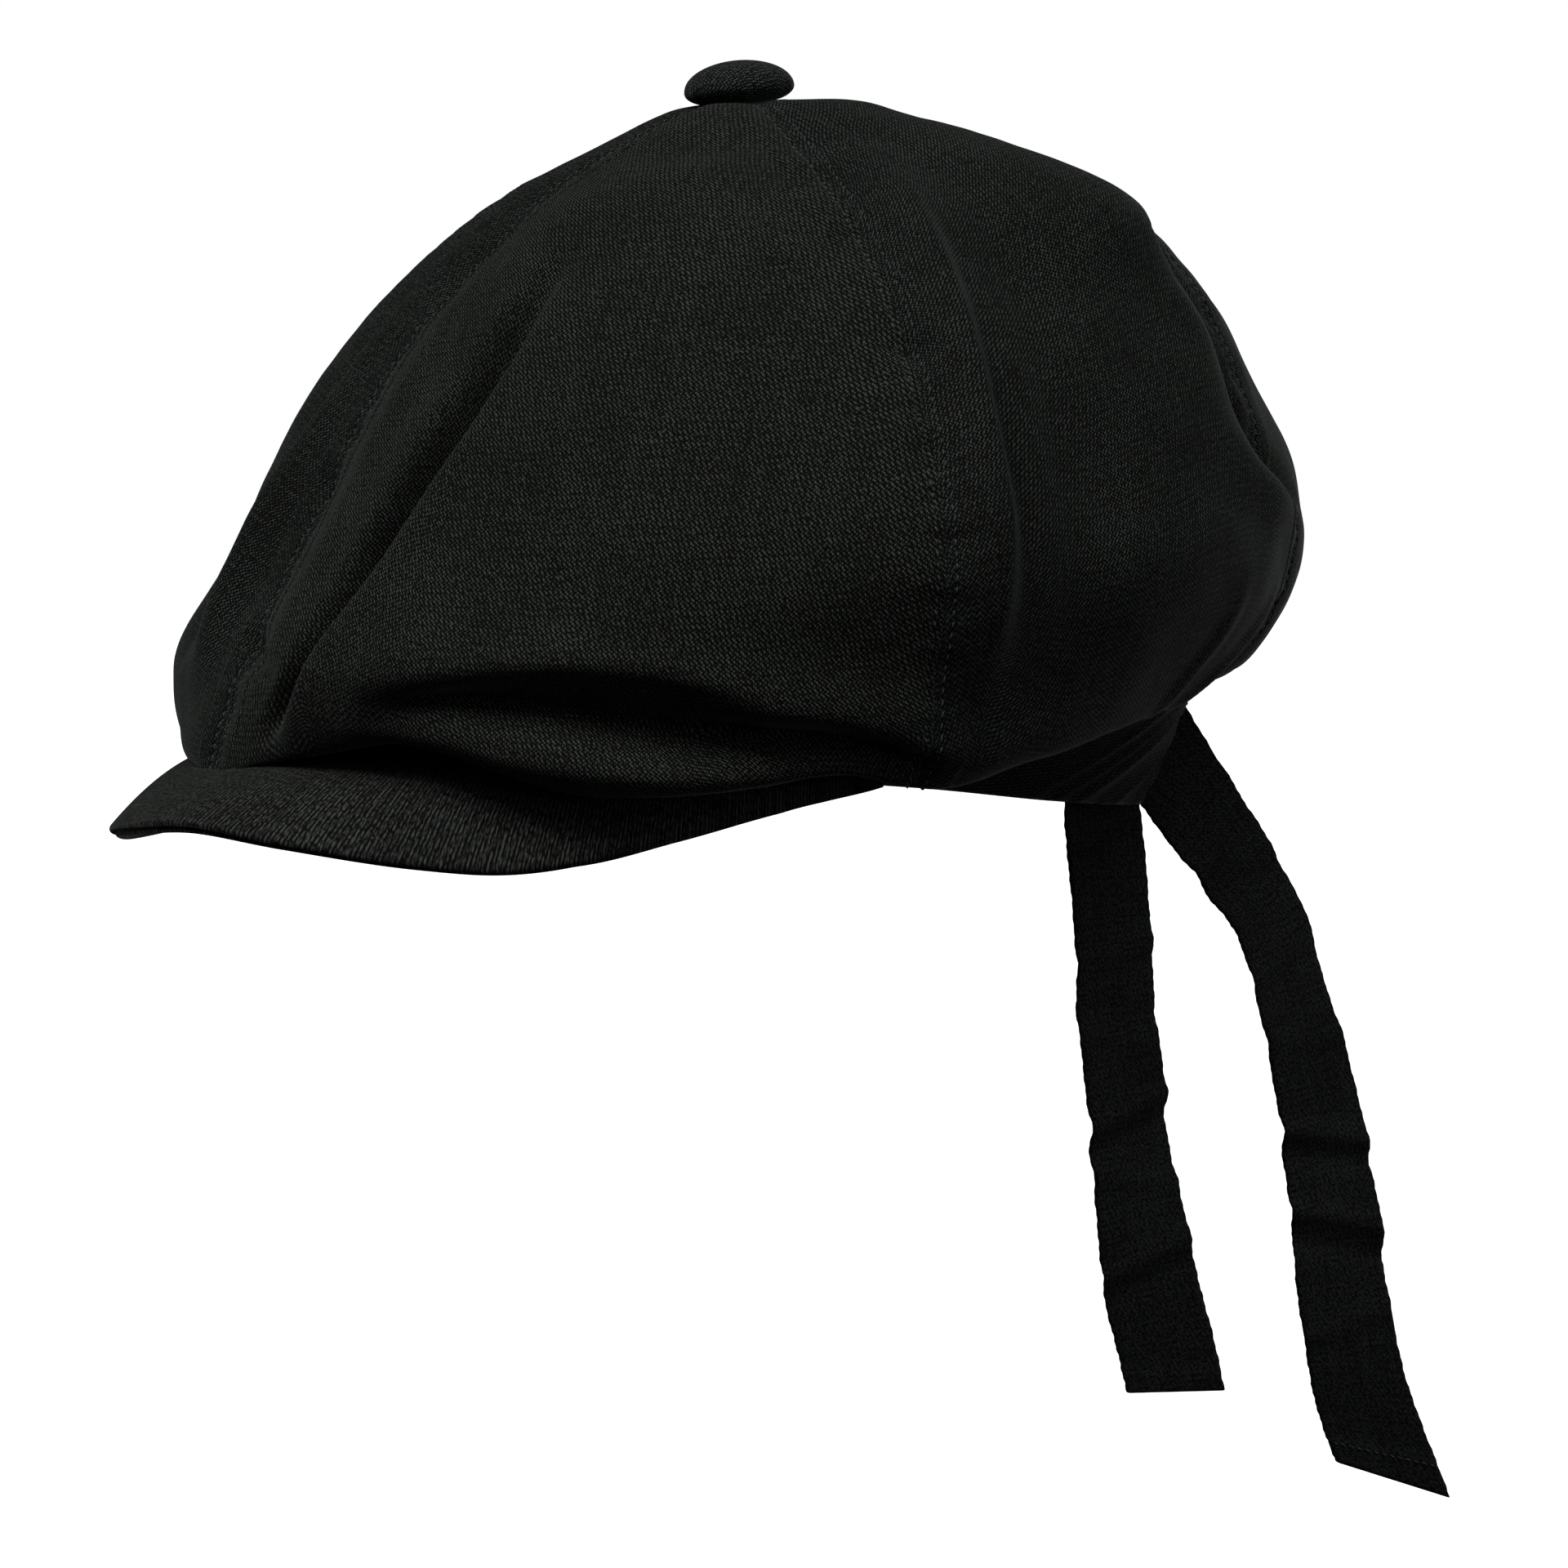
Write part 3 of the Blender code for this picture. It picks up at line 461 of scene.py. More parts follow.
def seam_relief(angle, radius, height):
    """Height of the seams' own shape at a place on the crown, from its distance to the nearest seam."""
    side = side_angle(angle)
    relief = np.zeros_like(side)
    wave = 2 * np.pi * height / PUCKER_PITCH
    for number, seam in enumerate(SEAMS):
        across = np.abs(side - seam) * RADIAN * radius
        draw = np.sin(wave + number * 2 + PUCKER_DRIFT * np.sin(height / PUCKER_DRIFT_LENGTH + number))
        draw += FINE_PUCKER * np.sin(wave * FINE_PUCKER_RATE + 3 * number)
        relief -= SEAM_DIP * np.exp(-((across / SEAM_DIP_WIDTH) ** 2))
        relief -= GROOVE * np.exp(-across / GROOVE_WIDTH)
        relief += ALLOWANCE * (1 - smooth_step(across, ALLOWANCE_WIDTH, ALLOWANCE_WIDTH + ALLOWANCE_BLEND))
        relief -= CHANNEL * np.exp(-(((across - CHANNEL_OFFSET) / CHANNEL_WIDTH) ** 2))
        relief += PUCKER * draw * np.exp(-((across / PUCKER_WIDTH) ** 2))
    return relief * np.clip(radius / SEAM_FULL_RADIUS, 0, 1)


def crown_plain(angle, station):
    """The crown without folds."""
    return placed(angle, *profile(angle, np.clip(station, 0, LAST_KNOT)))


def surface_normals(surface, angle, place, fine):
    """Outward normals of a surface of the angle and of a second number, from central differences."""
    along_angle = surface(angle + FINE_ANGLE, place) - surface(angle - FINE_ANGLE, place)
    return unit(np.cross(surface(angle, place + fine) - surface(angle, place - fine), along_angle))


def crown_surface(angle, station):
    """The outer face of the crown: the plain form moved along its normals by folds, seams and waves."""
    station = np.clip(station, 0, LAST_KNOT)
    radius, height = profile(angle, station)
    plain = placed(angle, radius, height)
    end_fade = np.clip((HANG_KNOT - station) / RELIEF_END_BLEND + 0.5, 0, 1)
    relief = fold_relief(angle, radius, height) * (end_fade * smooth_step(radius, *FOLD_INNER_RADII))
    relief += seam_relief(angle, radius, height) * end_fade * smooth_step(radius, *SEAM_INNER_RADII)
    relief += plane_waves(plain) * end_fade * smooth_step(radius, *WAVE_INNER_RADII)
    return plain + surface_normals(crown_plain, angle, station, FINE_STATION) * relief[..., None]


def mesh_object(name, points, faces, material, slot, solid=None, uv=None, fold=None):
    """A smooth-shaded piece of the cap from points in millimetres, with the cloth's own coordinates and how deep
    each point lies in a fold. It rides on the one body and may take the place of a solid. The slot is not used."""
    mesh = bpy.data.meshes.new(name)
    mesh.from_pydata((points.reshape(-1, 3) * MM).tolist(), [], faces)
    if uv is not None:
        corners = np.empty(len(mesh.loops), int)
        mesh.loops.foreach_get("vertex_index", corners)
        layer = mesh.uv_layers.new(name="cloth")
        layer.uv.foreach_set("vector", (uv.reshape(-1, 2)[corners] * MM).ravel())
    if fold is not None:
        # The depth in a fold is kept for the weave, which paints shade into the colour there
        mesh.attributes.new("fold", "FLOAT", "POINT").data.foreach_set("value", fold)
    mesh.shade_smooth()
    mesh.materials.append(material)
    piece = add_object(name, mesh)
    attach(piece, "root")
    if solid:
        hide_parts(solid)
    return piece


def grid_quads(rows, columns, first=0, flip=False, ring_rows=False, ring_columns=False):
    """Four-sided faces of a grid whose points are numbered row by row. The last row or column may be joined to the
    first one."""
    i, j = np.meshgrid(np.arange(rows - 1 + ring_rows), np.arange(columns - 1 + ring_columns), indexing="ij")
    here, below, after = first + i * columns, first + (i + 1) % rows * columns, (j + 1) % columns
    corners = [here + j, here + after, below + after, below + j]
    return np.stack(corners[::-1] if flip else corners, -1).reshape(-1, 4)


def rim_numbers(rows, columns):
    """Numbers of a grid's border points, once round."""
    last = (rows - 1) * columns
    return np.concatenate([
        np.arange(rows) * columns, last + np.arange(1, columns),
        np.arange(rows - 2, -1, -1) * columns + columns - 1, np.arange(columns - 2, 0, -1),
    ])


def lined_sheet(name, outer, wall, fold, *dress):
    """A closed sheet of cloth. The outer grid has odd numbers of rows and columns; the inner face has every second
    point of it, moved inwards by the wall, and five-sided faces close the rim between the two. The cloth's own
    coordinates are the lengths along the grid's lines, across from its middle and down."""
    normal = unit(np.cross(np.gradient(outer, axis=1), np.gradient(outer, axis=0)))
    inner = (outer - normal * wall)[::2, ::2]
    size, few_size = outer.shape[:2], inner.shape[:2]
    count = size[0] * size[1]
    rim, few = rim_numbers(*size), rim_numbers(*few_size) + count
    closing = np.stack([rim[0::2], rim[1::2], np.roll(rim, -2)[0::2], np.roll(few, -1), few], -1)
    faces = grid_quads(*size).tolist() + grid_quads(*few_size, count, flip=True).tolist() + closing.tolist()
    across = lengths(outer)
    uv = np.stack([across - across[len(outer) // 2], -lengths(outer, 1)], -1)
    points = np.concatenate([outer.reshape(-1, 3), inner.reshape(-1, 3)])
    uv = np.concatenate([uv.reshape(-1, 2), uv[::2, ::2].reshape(-1, 2)])
    fold = np.concatenate([fold.ravel(), fold[::2, ::2].ravel()])
    return mesh_object(name, points, faces, *dress, uv=uv, fold=fold)


def two_faced(name, front, back, uv, *dress):
    """A closed piece between two grids of the same size, with four-sided faces round the rim."""
    rows, columns = front.shape[:2]
    count = rows * columns
    rim = rim_numbers(rows, columns)
    closing = np.stack([rim, np.roll(rim, -1), np.roll(rim, -1) + count, rim + count], -1)
    faces = [grid_quads(rows, columns), grid_quads(rows, columns, count, flip=True), closing]
    points, both = np.concatenate([front, back]), np.concatenate([uv, uv])
    return mesh_object(name, points, np.concatenate(faces).tolist(), *dress, uv=both)


def odd(length, step):
    """An odd number of points that covers a length in about this step."""
    return int(length / step / 2) * 2 + 1


def crown_panel(name, start, end, material):
    """One gore of the crown from the apex to the band. Columns crowd together at the seams, and stations lie
    evenly along the cloth."""
    fine = np.linspace(0, LAST_KNOT, PROFILE_SAMPLES)
    middle = (start + end) / 2
    line = crown_plain(middle + 0 * fine, fine)
    run = lengths(line)
    begin = np.interp(APEX_HOLE_RADIUS, line[:, :2] @ outward(middle)[:2], run)
    down = np.linspace(begin, run[-1], odd(run[-1] - begin, STATION_STEP))
    widest = (end - start) * RADIAN * np.max(np.hypot(line[:, 0], line[:, 1]))
    plain_share = np.linspace(0, 1, odd(widest, COLUMN_STEP))[:, None]
    share = plain_share - SEAM_CLUSTER * np.sin(2 * np.pi * plain_share) / (2 * np.pi)
    station = np.interp(down, run, fine)[None, :] + 0 * share
    radius = profile(middle + 0 * share + 0 * station, station)[0]
    overlap = SEAM_OVERLAP / 2 / radius / RADIAN
    angle = (start - overlap) + (end - start + 2 * overlap) * share
    fold = fold_relief(angle, *profile(angle, station))
    lined_sheet(name, crown_surface(angle, station), CLOTH_WALL, fold, material, "crown_cloth", "crown_" + name)


def node(tree, kind, inputs=(), **settings):
    """A shader node: the settings are its properties, and the inputs are values or other nodes' sockets."""
    made = tree.nodes.new("ShaderNode" + kind)
    for key, value in settings.items():
        setattr(made, key, value)
    for key, value in dict(inputs).items():
        if isinstance(value, bpy.types.NodeSocket):
            tree.links.new(value, made.inputs[key])
        else:
            made.inputs[key].default_value = value
    return made


def new_material(name, values):
    """A new material, its node tree and its shader with these inputs set."""
    material = bpy.data.materials.new(name)
    material.use_nodes = True
    shader = material.node_tree.nodes["Principled BSDF"]
    for key, value in values.items():
        shader.inputs[key].default_value = value
    return material, material.node_tree, shader


# The weave: alternate threads float over each other in both directions, and the floats step up by a third of a
# repeat from one to the next. Each harmonic has its cycles per warp and per weft, and its share.
WARP_PITCH = 0.54
WEFT_PITCH = 0.49
WEAVE = ((-1 / 2, 1 / 2, 1.0), (1 / 2, 1 / 2, 0.6), (-1 / 2, 1 / 6, 0.85), (1.0, 0.0, 0.4))
# Scales of the noises, with the reach of each bend in metres, or the gain and level that the noise is used at
BENDS = ((55.0, 0.0009), (800.0, 0.00016))
GRAIN_SCALE, GRAIN_GAIN, GRAIN_LEVEL = 1450.0, 4.9, -1.55
SLUB_SCALES, SLUB_GAIN, SLUB_LEVEL = ((70.0, 1300.0), (1100.0, 45.0)), 1.5, -0.5
NAP_SCALE, NAP_GAIN, NAP_LEVEL = 34.0, 1.1, 0.45
LINT_SCALES, LINT_RANGE, LINT_SHARE = (500.0, 900.0), (0.8, 0.86), 0.25
TINT_SCALE, TINT_RANGE, TINT = 1000.0, (0.35, 0.65), (0.86, 1.01, 1.12)
# Depths between which shade is painted into the colour of a fold, and the share of brightness left at its bottom
FOLD_PAINTED_SHADE_RANGE, FOLD_PAINTED_SHADE = (-12.5, -7.0), 0.15
FLOAT_BUMP, GRAIN_BUMP = 0.00006, 0.4
CLOTH_SURFACE = {
    "Roughness": 0.9, "Specular IOR Level": 0.08,
    "Sheen Weight": 0.06, "Sheen Roughness": 0.35, "Sheen Tint": (0.9, 1.0, 0.95, 1),
}


def weave_cloth(name, dark, light, turn=0.0, mirror=1, gain=1.35, level=0.08, seed=0.0, weave=WEAVE, shade=1.0):
    """Soft fine weave. Waves in the directions of the weave's harmonics are added up and bent by slow noise, so
    that floats of thread stand in staggered rows. Each float has its own brightness and tint, slubs run as faint
    streaks across and along, bright lint lies about, wide blotches vary the nap, and shade is painted into the
    colour deep in a fold. The floats stand up in the bump."""
    material, tree, shader = new_material(name, CLOTH_SURFACE)

    def noise(place, scale, detail, output=0):
        inputs = {"Vector": place, "Scale": scale, "Detail": detail}
        return node(tree, "TexNoise", inputs, noise_dimensions="2D").outputs[output]

    def stretched(scales, detail):
        return noise(node(tree, "Mapping", {0: place, 3: (*scales, 1.0)}).outputs[0], 1.0, detail)

    def maths(operation, *values, **settings):
        return node(tree, "Math", enumerate(values), operation=operation, **settings).outputs[0]

    def vectors(operation, inputs, output=0):
        return node(tree, "VectorMath", inputs, operation=operation).outputs[output]

    def ranged(value, limits, least=0.0):
        return node(tree, "MapRange", {0: value, 1: limits[0], 2: limits[1], 3: least}).outputs[0]

    def mixed(share, first, second):
        return node(tree, "Mix", {0: share, 6: first, 7: second}, data_type="RGBA").outputs[2]

    cloth = node(tree, "UVMap", uv_map="cloth").outputs[0]
    shifted = node(tree, "Mapping", {0: cloth, 1: (seed, seed / 3, 0), 2: (0, 0, turn * RADIAN)}).outputs[0]
    place = shifted
    for scale, reach in BENDS:
        drift = vectors("SUBTRACT", {0: noise(shifted, scale, 1.0, 1), 1: (0.5, 0.5, 0.5)})
        place = vectors("ADD", {0: place, 1: vectors("SCALE", {0: drift, "Scale": reach})})
    total = 0.0
    for warps, wefts, share in weave:
        rate = 2 * np.pi / MM * np.array([mirror * warps / WARP_PITCH, wefts / WEFT_PITCH, 0])
        wave = maths("COSINE", vectors("DOT_PRODUCT", {0: place, 1: rate}, "Value"))
        total = maths("MULTIPLY_ADD", wave, share, total)
    floats = maths("MULTIPLY_ADD", total, gain / sum(share for _, _, share in weave), level, use_clamp=True)
    grain = noise(place, GRAIN_SCALE, 2.0)
    bright = maths("MULTIPLY", floats, maths("MULTIPLY_ADD", grain, GRAIN_GAIN, GRAIN_LEVEL))
    slubs = maths("ADD", *(stretched(scales, 2.0) for scales in SLUB_SCALES))
    bright = maths("MULTIPLY", bright, maths("MULTIPLY_ADD", slubs, SLUB_GAIN, SLUB_LEVEL))
    nap = maths("MULTIPLY_ADD", noise(place, NAP_SCALE, 3.0), NAP_GAIN, NAP_LEVEL)
    lint = ranged(stretched(LINT_SCALES, 0.0), LINT_RANGE)
    bright = maths("MULTIPLY_ADD", lint, LINT_SHARE, maths("MULTIPLY", bright, nap))
    # Painted shade: the colour darkens with the depth of the fold under it, and the whole cloth is scaled by its
    # shade
    fold = node(tree, "Attribute", attribute_name="fold").outputs["Fac"]
    painted_fold_shade_and_tone = maths("MULTIPLY", ranged(fold, FOLD_PAINTED_SHADE_RANGE, FOLD_PAINTED_SHADE), shade)
    bright = maths("MULTIPLY", bright, painted_fold_shade_and_tone, use_clamp=True)
    tint = ranged(noise(place, TINT_SCALE, 0.0), TINT_RANGE)
    tinted = mixed(tint, (*light, 1), (*(np.array(light) * TINT), 1))
    tree.links.new(mixed(bright, (*dark, 1), tinted), shader.inputs["Base Color"])
    height = maths("MULTIPLY_ADD", grain, GRAIN_BUMP, floats)
    bump = node(tree, "Bump", {"Height": height, "Distance": FLOAT_BUMP, "Strength": 1.0})
    tree.links.new(bump.outputs[0], shader.inputs["Normal"])
    return material


crown_cloth = weave_cloth("crown_cloth_weave", (0.0010, 0.0012, 0.0006), (0.0495, 0.0555, 0.0445), mirror=-1)
side_cloth = weave_cloth(
    "side_cloth_weave", (0.0010, 0.0012, 0.0007), (0.0465, 0.0530, 0.0440), seed=0.21, shade=0.85
)
for panel in (
    ("panel_front_left", 0.0, SIDE_SEAM, crown_cloth),
    ("panel_front_right", -SIDE_SEAM, 0.0, side_cloth),
    ("panel_side_left", SIDE_SEAM, REAR_SEAM, side_cloth),
    ("panel_side_right", -REAR_SEAM, -SIDE_SEAM, crown_cloth),
    ("panel_back", REAR_SEAM, 360 - REAR_SEAM, crown_cloth),
):
    crown_panel(*panel)

# ------------------------------ topstitching of crown
# Two rows of black thread beside each seam, from the button to the band. Each stitch is a short bowed run of
# thread that dips into the cloth at both ends.
STITCH_PITCH = 2.5
STITCH_SHARE = 0.7
THREAD_RADIUS = 0.25
THREAD_END_SHARE = 0.35
STITCH_BOW = 0.36
STITCH_SINK = 0.1
STITCH_SLANT = 0.22
STITCH_RINGS = 6
THREAD_SIDES = 6
STITCHED_STATIONS = (0.95, HANG_KNOT + 0.2, 700)


def stitch_row(middle, normal, pitch=STITCH_PITCH, slant=STITCH_SLANT):
    """Rings of points of a row of stitches along a line on the cloth. The line is cut in equal runs; on each a
    tube of thread follows a half sine wave above the cloth, thinner at both ends, and leans off the line."""
    run = lengths(middle)
    count = int(run[-1] / pitch)
    t = np.linspace(0, 1, STITCH_RINGS)
    at = (np.arange(count)[:, None] + (1 - STITCH_SHARE) / 2 + STITCH_SHARE * t) * pitch
    centre, up = (np.stack([np.interp(at, run, line[:, k]) for k in range(3)], -1) for line in (middle, normal))
    aside = np.cross(unit(centre[:, -1:] - centre[:, :1]) + 0 * centre, up)
    swell = np.sin(np.pi * t)[None, :, None]
    centre = centre + up * (swell * STITCH_BOW - STITCH_SINK) + aside * slant * (2 * t - 1)[None, :, None]
    turn = np.linspace(0, 2 * np.pi, THREAD_SIDES, endpoint=False)[None, None, :, None]
    size = THREAD_RADIUS * (THREAD_END_SHARE + (1 - THREAD_END_SHARE) * swell**0.5)[..., None]
    return centre[:, :, None] + (aside[:, :, None] * np.cos(turn) + up[:, :, None] * np.sin(turn)) * size


def stitching(name, rings, slot):
    """Stitches as one piece: tubes of thread round their rings of points, closed at both ends."""
    per = STITCH_RINGS * THREAD_SIDES
    firsts = np.arange(len(rings))[:, None, None] * per
    sides = grid_quads(STITCH_RINGS, THREAD_SIDES, ring_columns=True)
    caps = np.arange(THREAD_SIDES)
    ends = np.stack([caps[::-1], caps + per - THREAD_SIDES])
    faces = (sides + firsts).reshape(-1, 4).tolist() + (ends + firsts).reshape(-1, THREAD_SIDES).tolist()
    mesh_object(name, rings, faces, black_thread, slot)


def thread(name, colour, bright_share=2.2):
    """Twisted sewing thread: a slanting wave in the bump, and a slight gloss."""
    material, tree, shader = new_material(name, {"Roughness": 0.6, "Specular IOR Level": 0.3})
    place = node(tree, "TexCoord").outputs["Object"]
    noise = node(tree, "TexNoise", {"Vector": place, "Scale": 2600.0, "Detail": 1.0}).outputs[0]
    twist = {"Vector": place, "Scale": 900.0, "Distortion": 3.0}
    strand = node(tree, "TexWave", twist, bands_direction="DIAGONAL").outputs[1]
    bright = (*(np.array(colour) * bright_share), 1)
    colours = node(tree, "Mix", {0: noise, 6: (*colour, 1), 7: bright}, data_type="RGBA")
    tree.links.new(colours.outputs[2], shader.inputs["Base Color"])
    bump = node(tree, "Bump", {"Height": strand, "Distance": 0.00008, "Strength": 0.8})
    tree.links.new(bump.outputs[0], shader.inputs["Normal"])
    return material


black_thread = thread("black_thread", (0.013, 0.0165, 0.0165))
rows_of_stitches = []
for seam in (0.0, SIDE_SEAM, REAR_SEAM, -REAR_SEAM, -SIDE_SEAM):
    station = np.linspace(*STITCHED_STATIONS)
    reach = profile(seam + 0 * station, station)[0]
    for side in (-1, 1):
        angle = seam + side * CHANNEL_OFFSET / reach / RADIAN
        normal = surface_normals(crown_plain, angle, station, FINE_STATION)
        rows_of_stitches.append(stitch_row(crown_surface(angle, station), normal, slant=STITCH_SLANT * side))
stitching("crown_topstitching", np.concatenate(rows_of_stitches), "crown_cloth")

# ------------------------------ button
# A domed button covered in the crown's cloth, a little tilted, on a short shank that goes through the gores'
# meeting point. The cover is drawn tight over the dome and pleated under the rim.
BUTTON_RADIUS = 12.4
BUTTON_DOME = 6.4
BUTTON_UNDERSIDE = 3.3
BUTTON_RIM_HEIGHT = 153.4
BUTTON_TILT = 5.5
BUTTON_UNDER_FLAT = 6.2
BUTTON_SHANK_RADIUS = 2.2
BUTTON_SHANK_END = 145.5
BUTTON_PLEATS, BUTTON_PLEAT_DEPTH = 17, 0.16
BUTTON_WAVERS, BUTTON_WAVER_DEPTH = 11, 0.1
BUTTON_RIM_SHARE, BUTTON_RIM_WIDTH = 0.56, 0.1
BUTTON_COLUMNS = 160
BUTTON_RINGS = 70
# Shares of the outline at which the dome, the underside and the flat end
DOME_END, UNDER_END, FLAT_END = 0.5, 0.8, 0.92


def button_surface(turn, share):
    """The button's outline swept round its axis: an elliptic dome, a rounded underside that turns in to a flat,
    and the shank. The rim wavers in shallow pleats that fade over the dome."""
    dome = np.clip(share / DOME_END, 0, 1) * np.pi / 2
    under = np.clip((share - DOME_END) / (UNDER_END - DOME_END), 0, 1) * np.pi / 2
    flat = np.clip((share - UNDER_END) / (FLAT_END - UNDER_END), 0, 1)
    shank = np.clip((share - FLAT_END) / (1 - FLAT_END), 0, 1)[..., None]
    radius = BUTTON_RADIUS * np.sin(dome) + (BUTTON_UNDER_FLAT - BUTTON_RADIUS) * (1 - np.cos(under))
    radius = radius + (BUTTON_SHANK_RADIUS - BUTTON_UNDER_FLAT) * flat
    height = BUTTON_DOME * np.cos(dome) - BUTTON_UNDERSIDE * np.sin(under)
    height = height + (BUTTON_SHANK_END - BUTTON_RIM_HEIGHT + BUTTON_UNDERSIDE) * shank[..., 0]
    rim = np.exp(-(((share - BUTTON_RIM_SHARE) / BUTTON_RIM_WIDTH) ** 2))
    waver = BUTTON_PLEAT_DEPTH * np.sin(BUTTON_PLEATS * turn * RADIAN)
    waver = waver + BUTTON_WAVER_DEPTH * np.sin(BUTTON_WAVERS * turn * RADIAN + 1)
    radius = radius + rim * waver * (flat == 0)
    points = placed(turn, radius, height)
    tilt = BUTTON_TILT * RADIAN
    lean = np.array([[1, 0, 0], [0, np.cos(tilt), -np.sin(tilt)], [0, np.sin(tilt), np.cos(tilt)]])
    points = points @ lean.T * (1 - shank) + points * shank
    return points + [0, 0, BUTTON_RIM_HEIGHT]


button_turn = np.linspace(0, 360, BUTTON_COLUMNS, endpoint=False)[:, None]
button_share = [*np.linspace(0.01, UNDER_END, BUTTON_RINGS), 0.84, 0.88, FLAT_END, 0.96, 1.0]
button_share = np.array(button_share)[None, :]
button_points = button_surface(button_turn + 0 * button_share, button_share + 0 * button_turn)
button_rings = button_share.shape[1]
button_columns = np.arange(BUTTON_COLUMNS) * button_rings
button_faces = grid_quads(BUTTON_COLUMNS, button_rings, ring_rows=True).tolist()
button_faces += [button_columns.tolist(), (button_columns[::-1] + button_rings - 1).tolist()]
button_arc = lengths(button_points, 1)
button_uv = outward(button_turn + 0 * button_arc)[..., :2] * button_arc[..., None]
button_cloth = weave_cloth(
    "button_cloth_weave", (0.0013, 0.0016, 0.0012), (0.062, 0.069, 0.062), turn=-35.0, seed=0.4
)
mesh_object("covered_button", button_points, button_faces, button_cloth, "button_cloth", "button", button_uv)

# ------------------------------ band
# A strip of the same cloth, turned in at both edges and closed to a ring round the head. It shows at the back,
# where a drawn cord inside it gathers it in folds that fan out from under the crown.
BAND_SECTION = 31
BAND_STEP = 0.4
GATHERS_START, GATHERS_FULL = 88.0, 118.0
GATHERS_AROUND = 34
GATHER_LEAN = 42.0
GATHER_DEPTH = 2.1
GATHER_SHARPNESS = 0.8
FINE_GATHER_DEPTH = 0.3
FINE_GATHER_RATE = 2.3
GATHER_EDGES, GATHER_FADE_POWER = (0.03, 0.97), 0.3
BAND_EDGE_POWER = 0.12
BAND_UV_SIZE = (90.0, 28.0)


def band_gathers(angle, rise):
    """Depth of the gathers on the band's outer face, always inwards: sharp crests that lean back as they rise, with
    round valleys between them, unevenly spaced. They fade in round the sides, and out at both edges."""
    lean = (side_angle(angle) - GATHER_LEAN * (rise - 0.5)) * RADIAN
    drift = 1.2 * np.sin(7 * lean + 1) + 0.7 * np.sin(13 * lean)
    wave = np.abs(np.sin(GATHERS_AROUND / 2 * lean + drift)) ** GATHER_SHARPNESS
    fine = (1 + np.cos(GATHERS_AROUND * FINE_GATHER_RATE * lean + 2 * drift)) / 2
    depth = GATHER_DEPTH * wave * (0.75 + 0.25 * np.sin(5 * lean)) + FINE_GATHER_DEPTH * fine
    share = smooth_step(side_angle(angle), GATHERS_START, GATHERS_FULL)
    return -share * depth * np.sin(np.pi * np.clip(rise, *GATHER_EDGES)) ** GATHER_FADE_POWER


def band_section():
    """Closed ring of the band: up the outer face, over the rounded upper edge, down the inner face."""
    angle = np.arange(0, 360, BAND_STEP)[None, :]
    up = np.linspace(0, 1, BAND_SECTION)
    half = BAND_WALL / 2
    edge = np.sin(np.pi * up) ** BAND_EDGE_POWER
    outer = half + half * np.where((up == 0) | (up == 1), 0.0, edge)
    rise = np.concatenate([up, up[-2:0:-1]])[:, None] + 0 * angle
    depth = np.concatenate([outer, half - (outer[-2:0:-1] - half)])[:, None]
    depth = depth + band_gathers(angle, rise) * (depth > half)
    uv = np.stack([side_angle(angle) * RADIAN + 0 * rise, rise], -1) * BAND_UV_SIZE
    return placed(angle + 0 * rise, band_radius(angle, rise) + depth, band_height(angle, rise)), uv


band_points, band_uv = band_section()
band_faces = grid_quads(*band_points.shape[:2], ring_rows=True, ring_columns=True).tolist()
band_cloth = weave_cloth("band_cloth_weave", (0.0010, 0.0011, 0.0007), (0.022, 0.024, 0.019), turn=35.0, seed=0.9)
mesh_object("gathered_band", band_points, band_faces, band_cloth, "band_cloth", "band", band_uv)

# ------------------------------ peak
# A short crescent of two cloths over a soft core, sewn together along its outer edge and turned, and caught in
# the band's lower edge. The edge is a soft roll with the seam in it.
PEAK_THICKNESS = 3.3
PEAK_CLOTH_GAP = 0.16
PEAK_END_ANGLE = 84.0
PEAK_SEAT_RISE = 4.0
PEAK_SEAT_GAP = 0.3
PEAK_COLUMNS = 361
PEAK_EVEN_ROWS = 41
PEAK_EDGE_ROWS = 9
PEAK_ROLL = 1.5
PEAK_LEAST_REACH = 2.2
PEAK_STEEPEST = 0.6
PEAK_UV_RADIUS, PEAK_LEAST_UV = 130.0, 8.0
STEER_SHARE, STEER_LEAST_REACH, STEER_REACH_RUN = 0.25, 6.0, 15.0
FINE_SHARE = 0.01
PEAK_ROWS = table(
    "angle reach edge arch",
    (-84, 2.6, 3.6, 1.7), (-70, 4.5, 1.4, 1.7), (-56, 9.5, -4.4, 1.9), (-42, 18.5, -9, 2.4), (-30, 29, -11.4, 3),
    (-24, 35.3, -12.8, 3.3), (-18, 40.5, -13, 3.3), (-9, 44.5, -10.4, 2.8), (0, 45.5, -8.2, 2.3),
    (9, 44, -6.9, 2.3), (18, 39, -10, 2.4), (30, 29.5, -14.4, 2.3), (38, 24.5, -15.6, 2.2), (46, 20.5, -13.4, 2),
    (56, 14.5, -7.2, 1.8), (70, 7.5, 0.6, 1.7), (84, 3.4, 3.8, 1.7),
)


def peak_surface(angle, share):
    """Upper face of the peak: it leaves the band level and arches down to the outer edge as a power of the
    share of its reach."""
    reach, edge, arch = (around(PEAK_ROWS, column, angle) for column in ("reach", "edge", "arch"))
    seat = band_height(angle, 0.0) + PEAK_SEAT_RISE
    start = band_face(angle, seat) + PEAK_SEAT_GAP
    return placed(angle, start + reach * share, seat + (edge - seat) * np.maximum(share, 0) ** arch)


